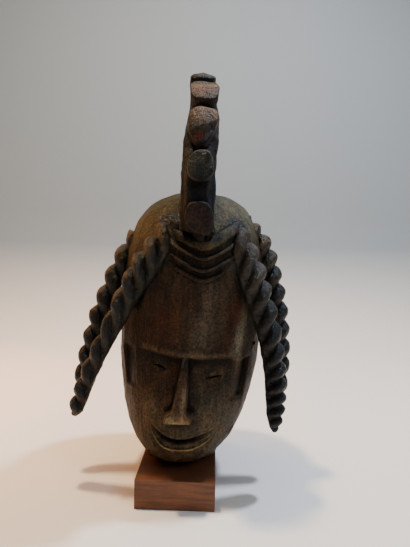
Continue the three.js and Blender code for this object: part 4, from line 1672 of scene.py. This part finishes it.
class StageSettings(bpy.types.PropertyGroup):
    """What a user would change on the stage."""

    warm_power: power_setting(
        "Warm light",
        "Power of the warm light at the left, with the floor lamp at a seventh",
        36,
    )
    cool_power: power_setting(
        "Cool light",
        "Power of the cool light at the right, with the window light at a fifth",
        36,
    )
    ceiling_power: power_setting(
        "Ceiling light",
        "Power of the wide light overhead",
        9,
    )
    room_strength: FloatProperty(
        name="Room",
        description="Strength of the light from all around",
        default=0.17,
        min=0,
    )
    floor_colour: colour_setting("Floor", "Colour of the floor", "#f8f1e3")
    wall_colour: colour_setting("Wall", "Colour of the wall behind", "#99a1a3")
    lens: FloatProperty(
        name="Lens",
        description="Focal length of the camera in millimetres",
        default=CAMERA_LENS,
        min=10,
        max=300,
    )


class HELMETMASK_OT_mask(bpy.types.Operator):
    """Carve the hollow mask with its crest and braids"""

    bl_idname = "helmet_mask.mask"
    bl_label = "Carved Mask"

    def execute(self, context):
        settings = context.scene.helmet_mask
        build_mask(
            patinated_wood(),
            settings.tool_depth / MM,
            settings.triangles,
            settings.head_colour,
            settings.hair_colour,
        )
        return {"FINISHED"}


class HELMETMASK_OT_block(bpy.types.Operator):
    """Make the wood block that the mask stands on"""

    bl_idname = "helmet_mask.block"
    bl_label = "Wood Block"

    def execute(self, context):
        settings = context.scene.helmet_block
        low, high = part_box("wood_block")
        width, depth, height = ((high - low) / MM)[:]
        wood = block_wood(settings.dark_grain, settings.light_grain)
        build_block(wood, width, depth, height, settings.edge / MM)
        return {"FINISHED"}


class HELMETMASK_OT_stage(bpy.types.Operator):
    """Set the floor, the lights and the camera around the mask"""

    bl_idname = "helmet_mask.stage"
    bl_label = "Stage"

    def execute(self, context):
        settings = context.scene.helmet_stage
        build_floor(plain_paint(settings.floor_colour, settings.wall_colour))
        build_lights(
            settings.warm_power,
            settings.cool_power,
            settings.ceiling_power,
            settings.room_strength,
        )
        build_camera(settings.lens)
        return {"FINISHED"}


class HELMETMASK_PT_build(bpy.types.Panel):
    """Lists the pieces of the helmet mask in the sidebar"""

    bl_idname = "HELMETMASK_PT_build"
    bl_label = "Helmet Mask"
    bl_space_type = "VIEW_3D"
    bl_region_type = "UI"
    bl_category = "Helmet Mask"

    def draw(self, context):
        scene = context.scene
        for settings, operator in (
            (scene.helmet_mask, HELMETMASK_OT_mask),
            (scene.helmet_block, HELMETMASK_OT_block),
            (scene.helmet_stage, HELMETMASK_OT_stage),
        ):
            box = self.layout.box()
            for name in settings.__annotations__:
                box.prop(settings, name)
            box.operator(operator.bl_idname)


CLASSES = (
    MaskSettings,
    BlockSettings,
    StageSettings,
    HELMETMASK_OT_mask,
    HELMETMASK_OT_block,
    HELMETMASK_OT_stage,
    HELMETMASK_PT_build,
)


def register():
    for kind in CLASSES:
        bpy.utils.register_class(kind)
    bpy.types.Scene.helmet_mask = PointerProperty(type=MaskSettings)
    bpy.types.Scene.helmet_block = PointerProperty(type=BlockSettings)
    bpy.types.Scene.helmet_stage = PointerProperty(type=StageSettings)


def unregister():
    del bpy.types.Scene.helmet_stage
    del bpy.types.Scene.helmet_block
    del bpy.types.Scene.helmet_mask
    for kind in reversed(CLASSES):
        bpy.utils.unregister_class(kind)


def main():
    register()
    bpy.ops.helmet_mask.mask()
    bpy.ops.helmet_mask.block()
    bpy.ops.helmet_mask.stage()


if __name__ == "__main__":
    main()
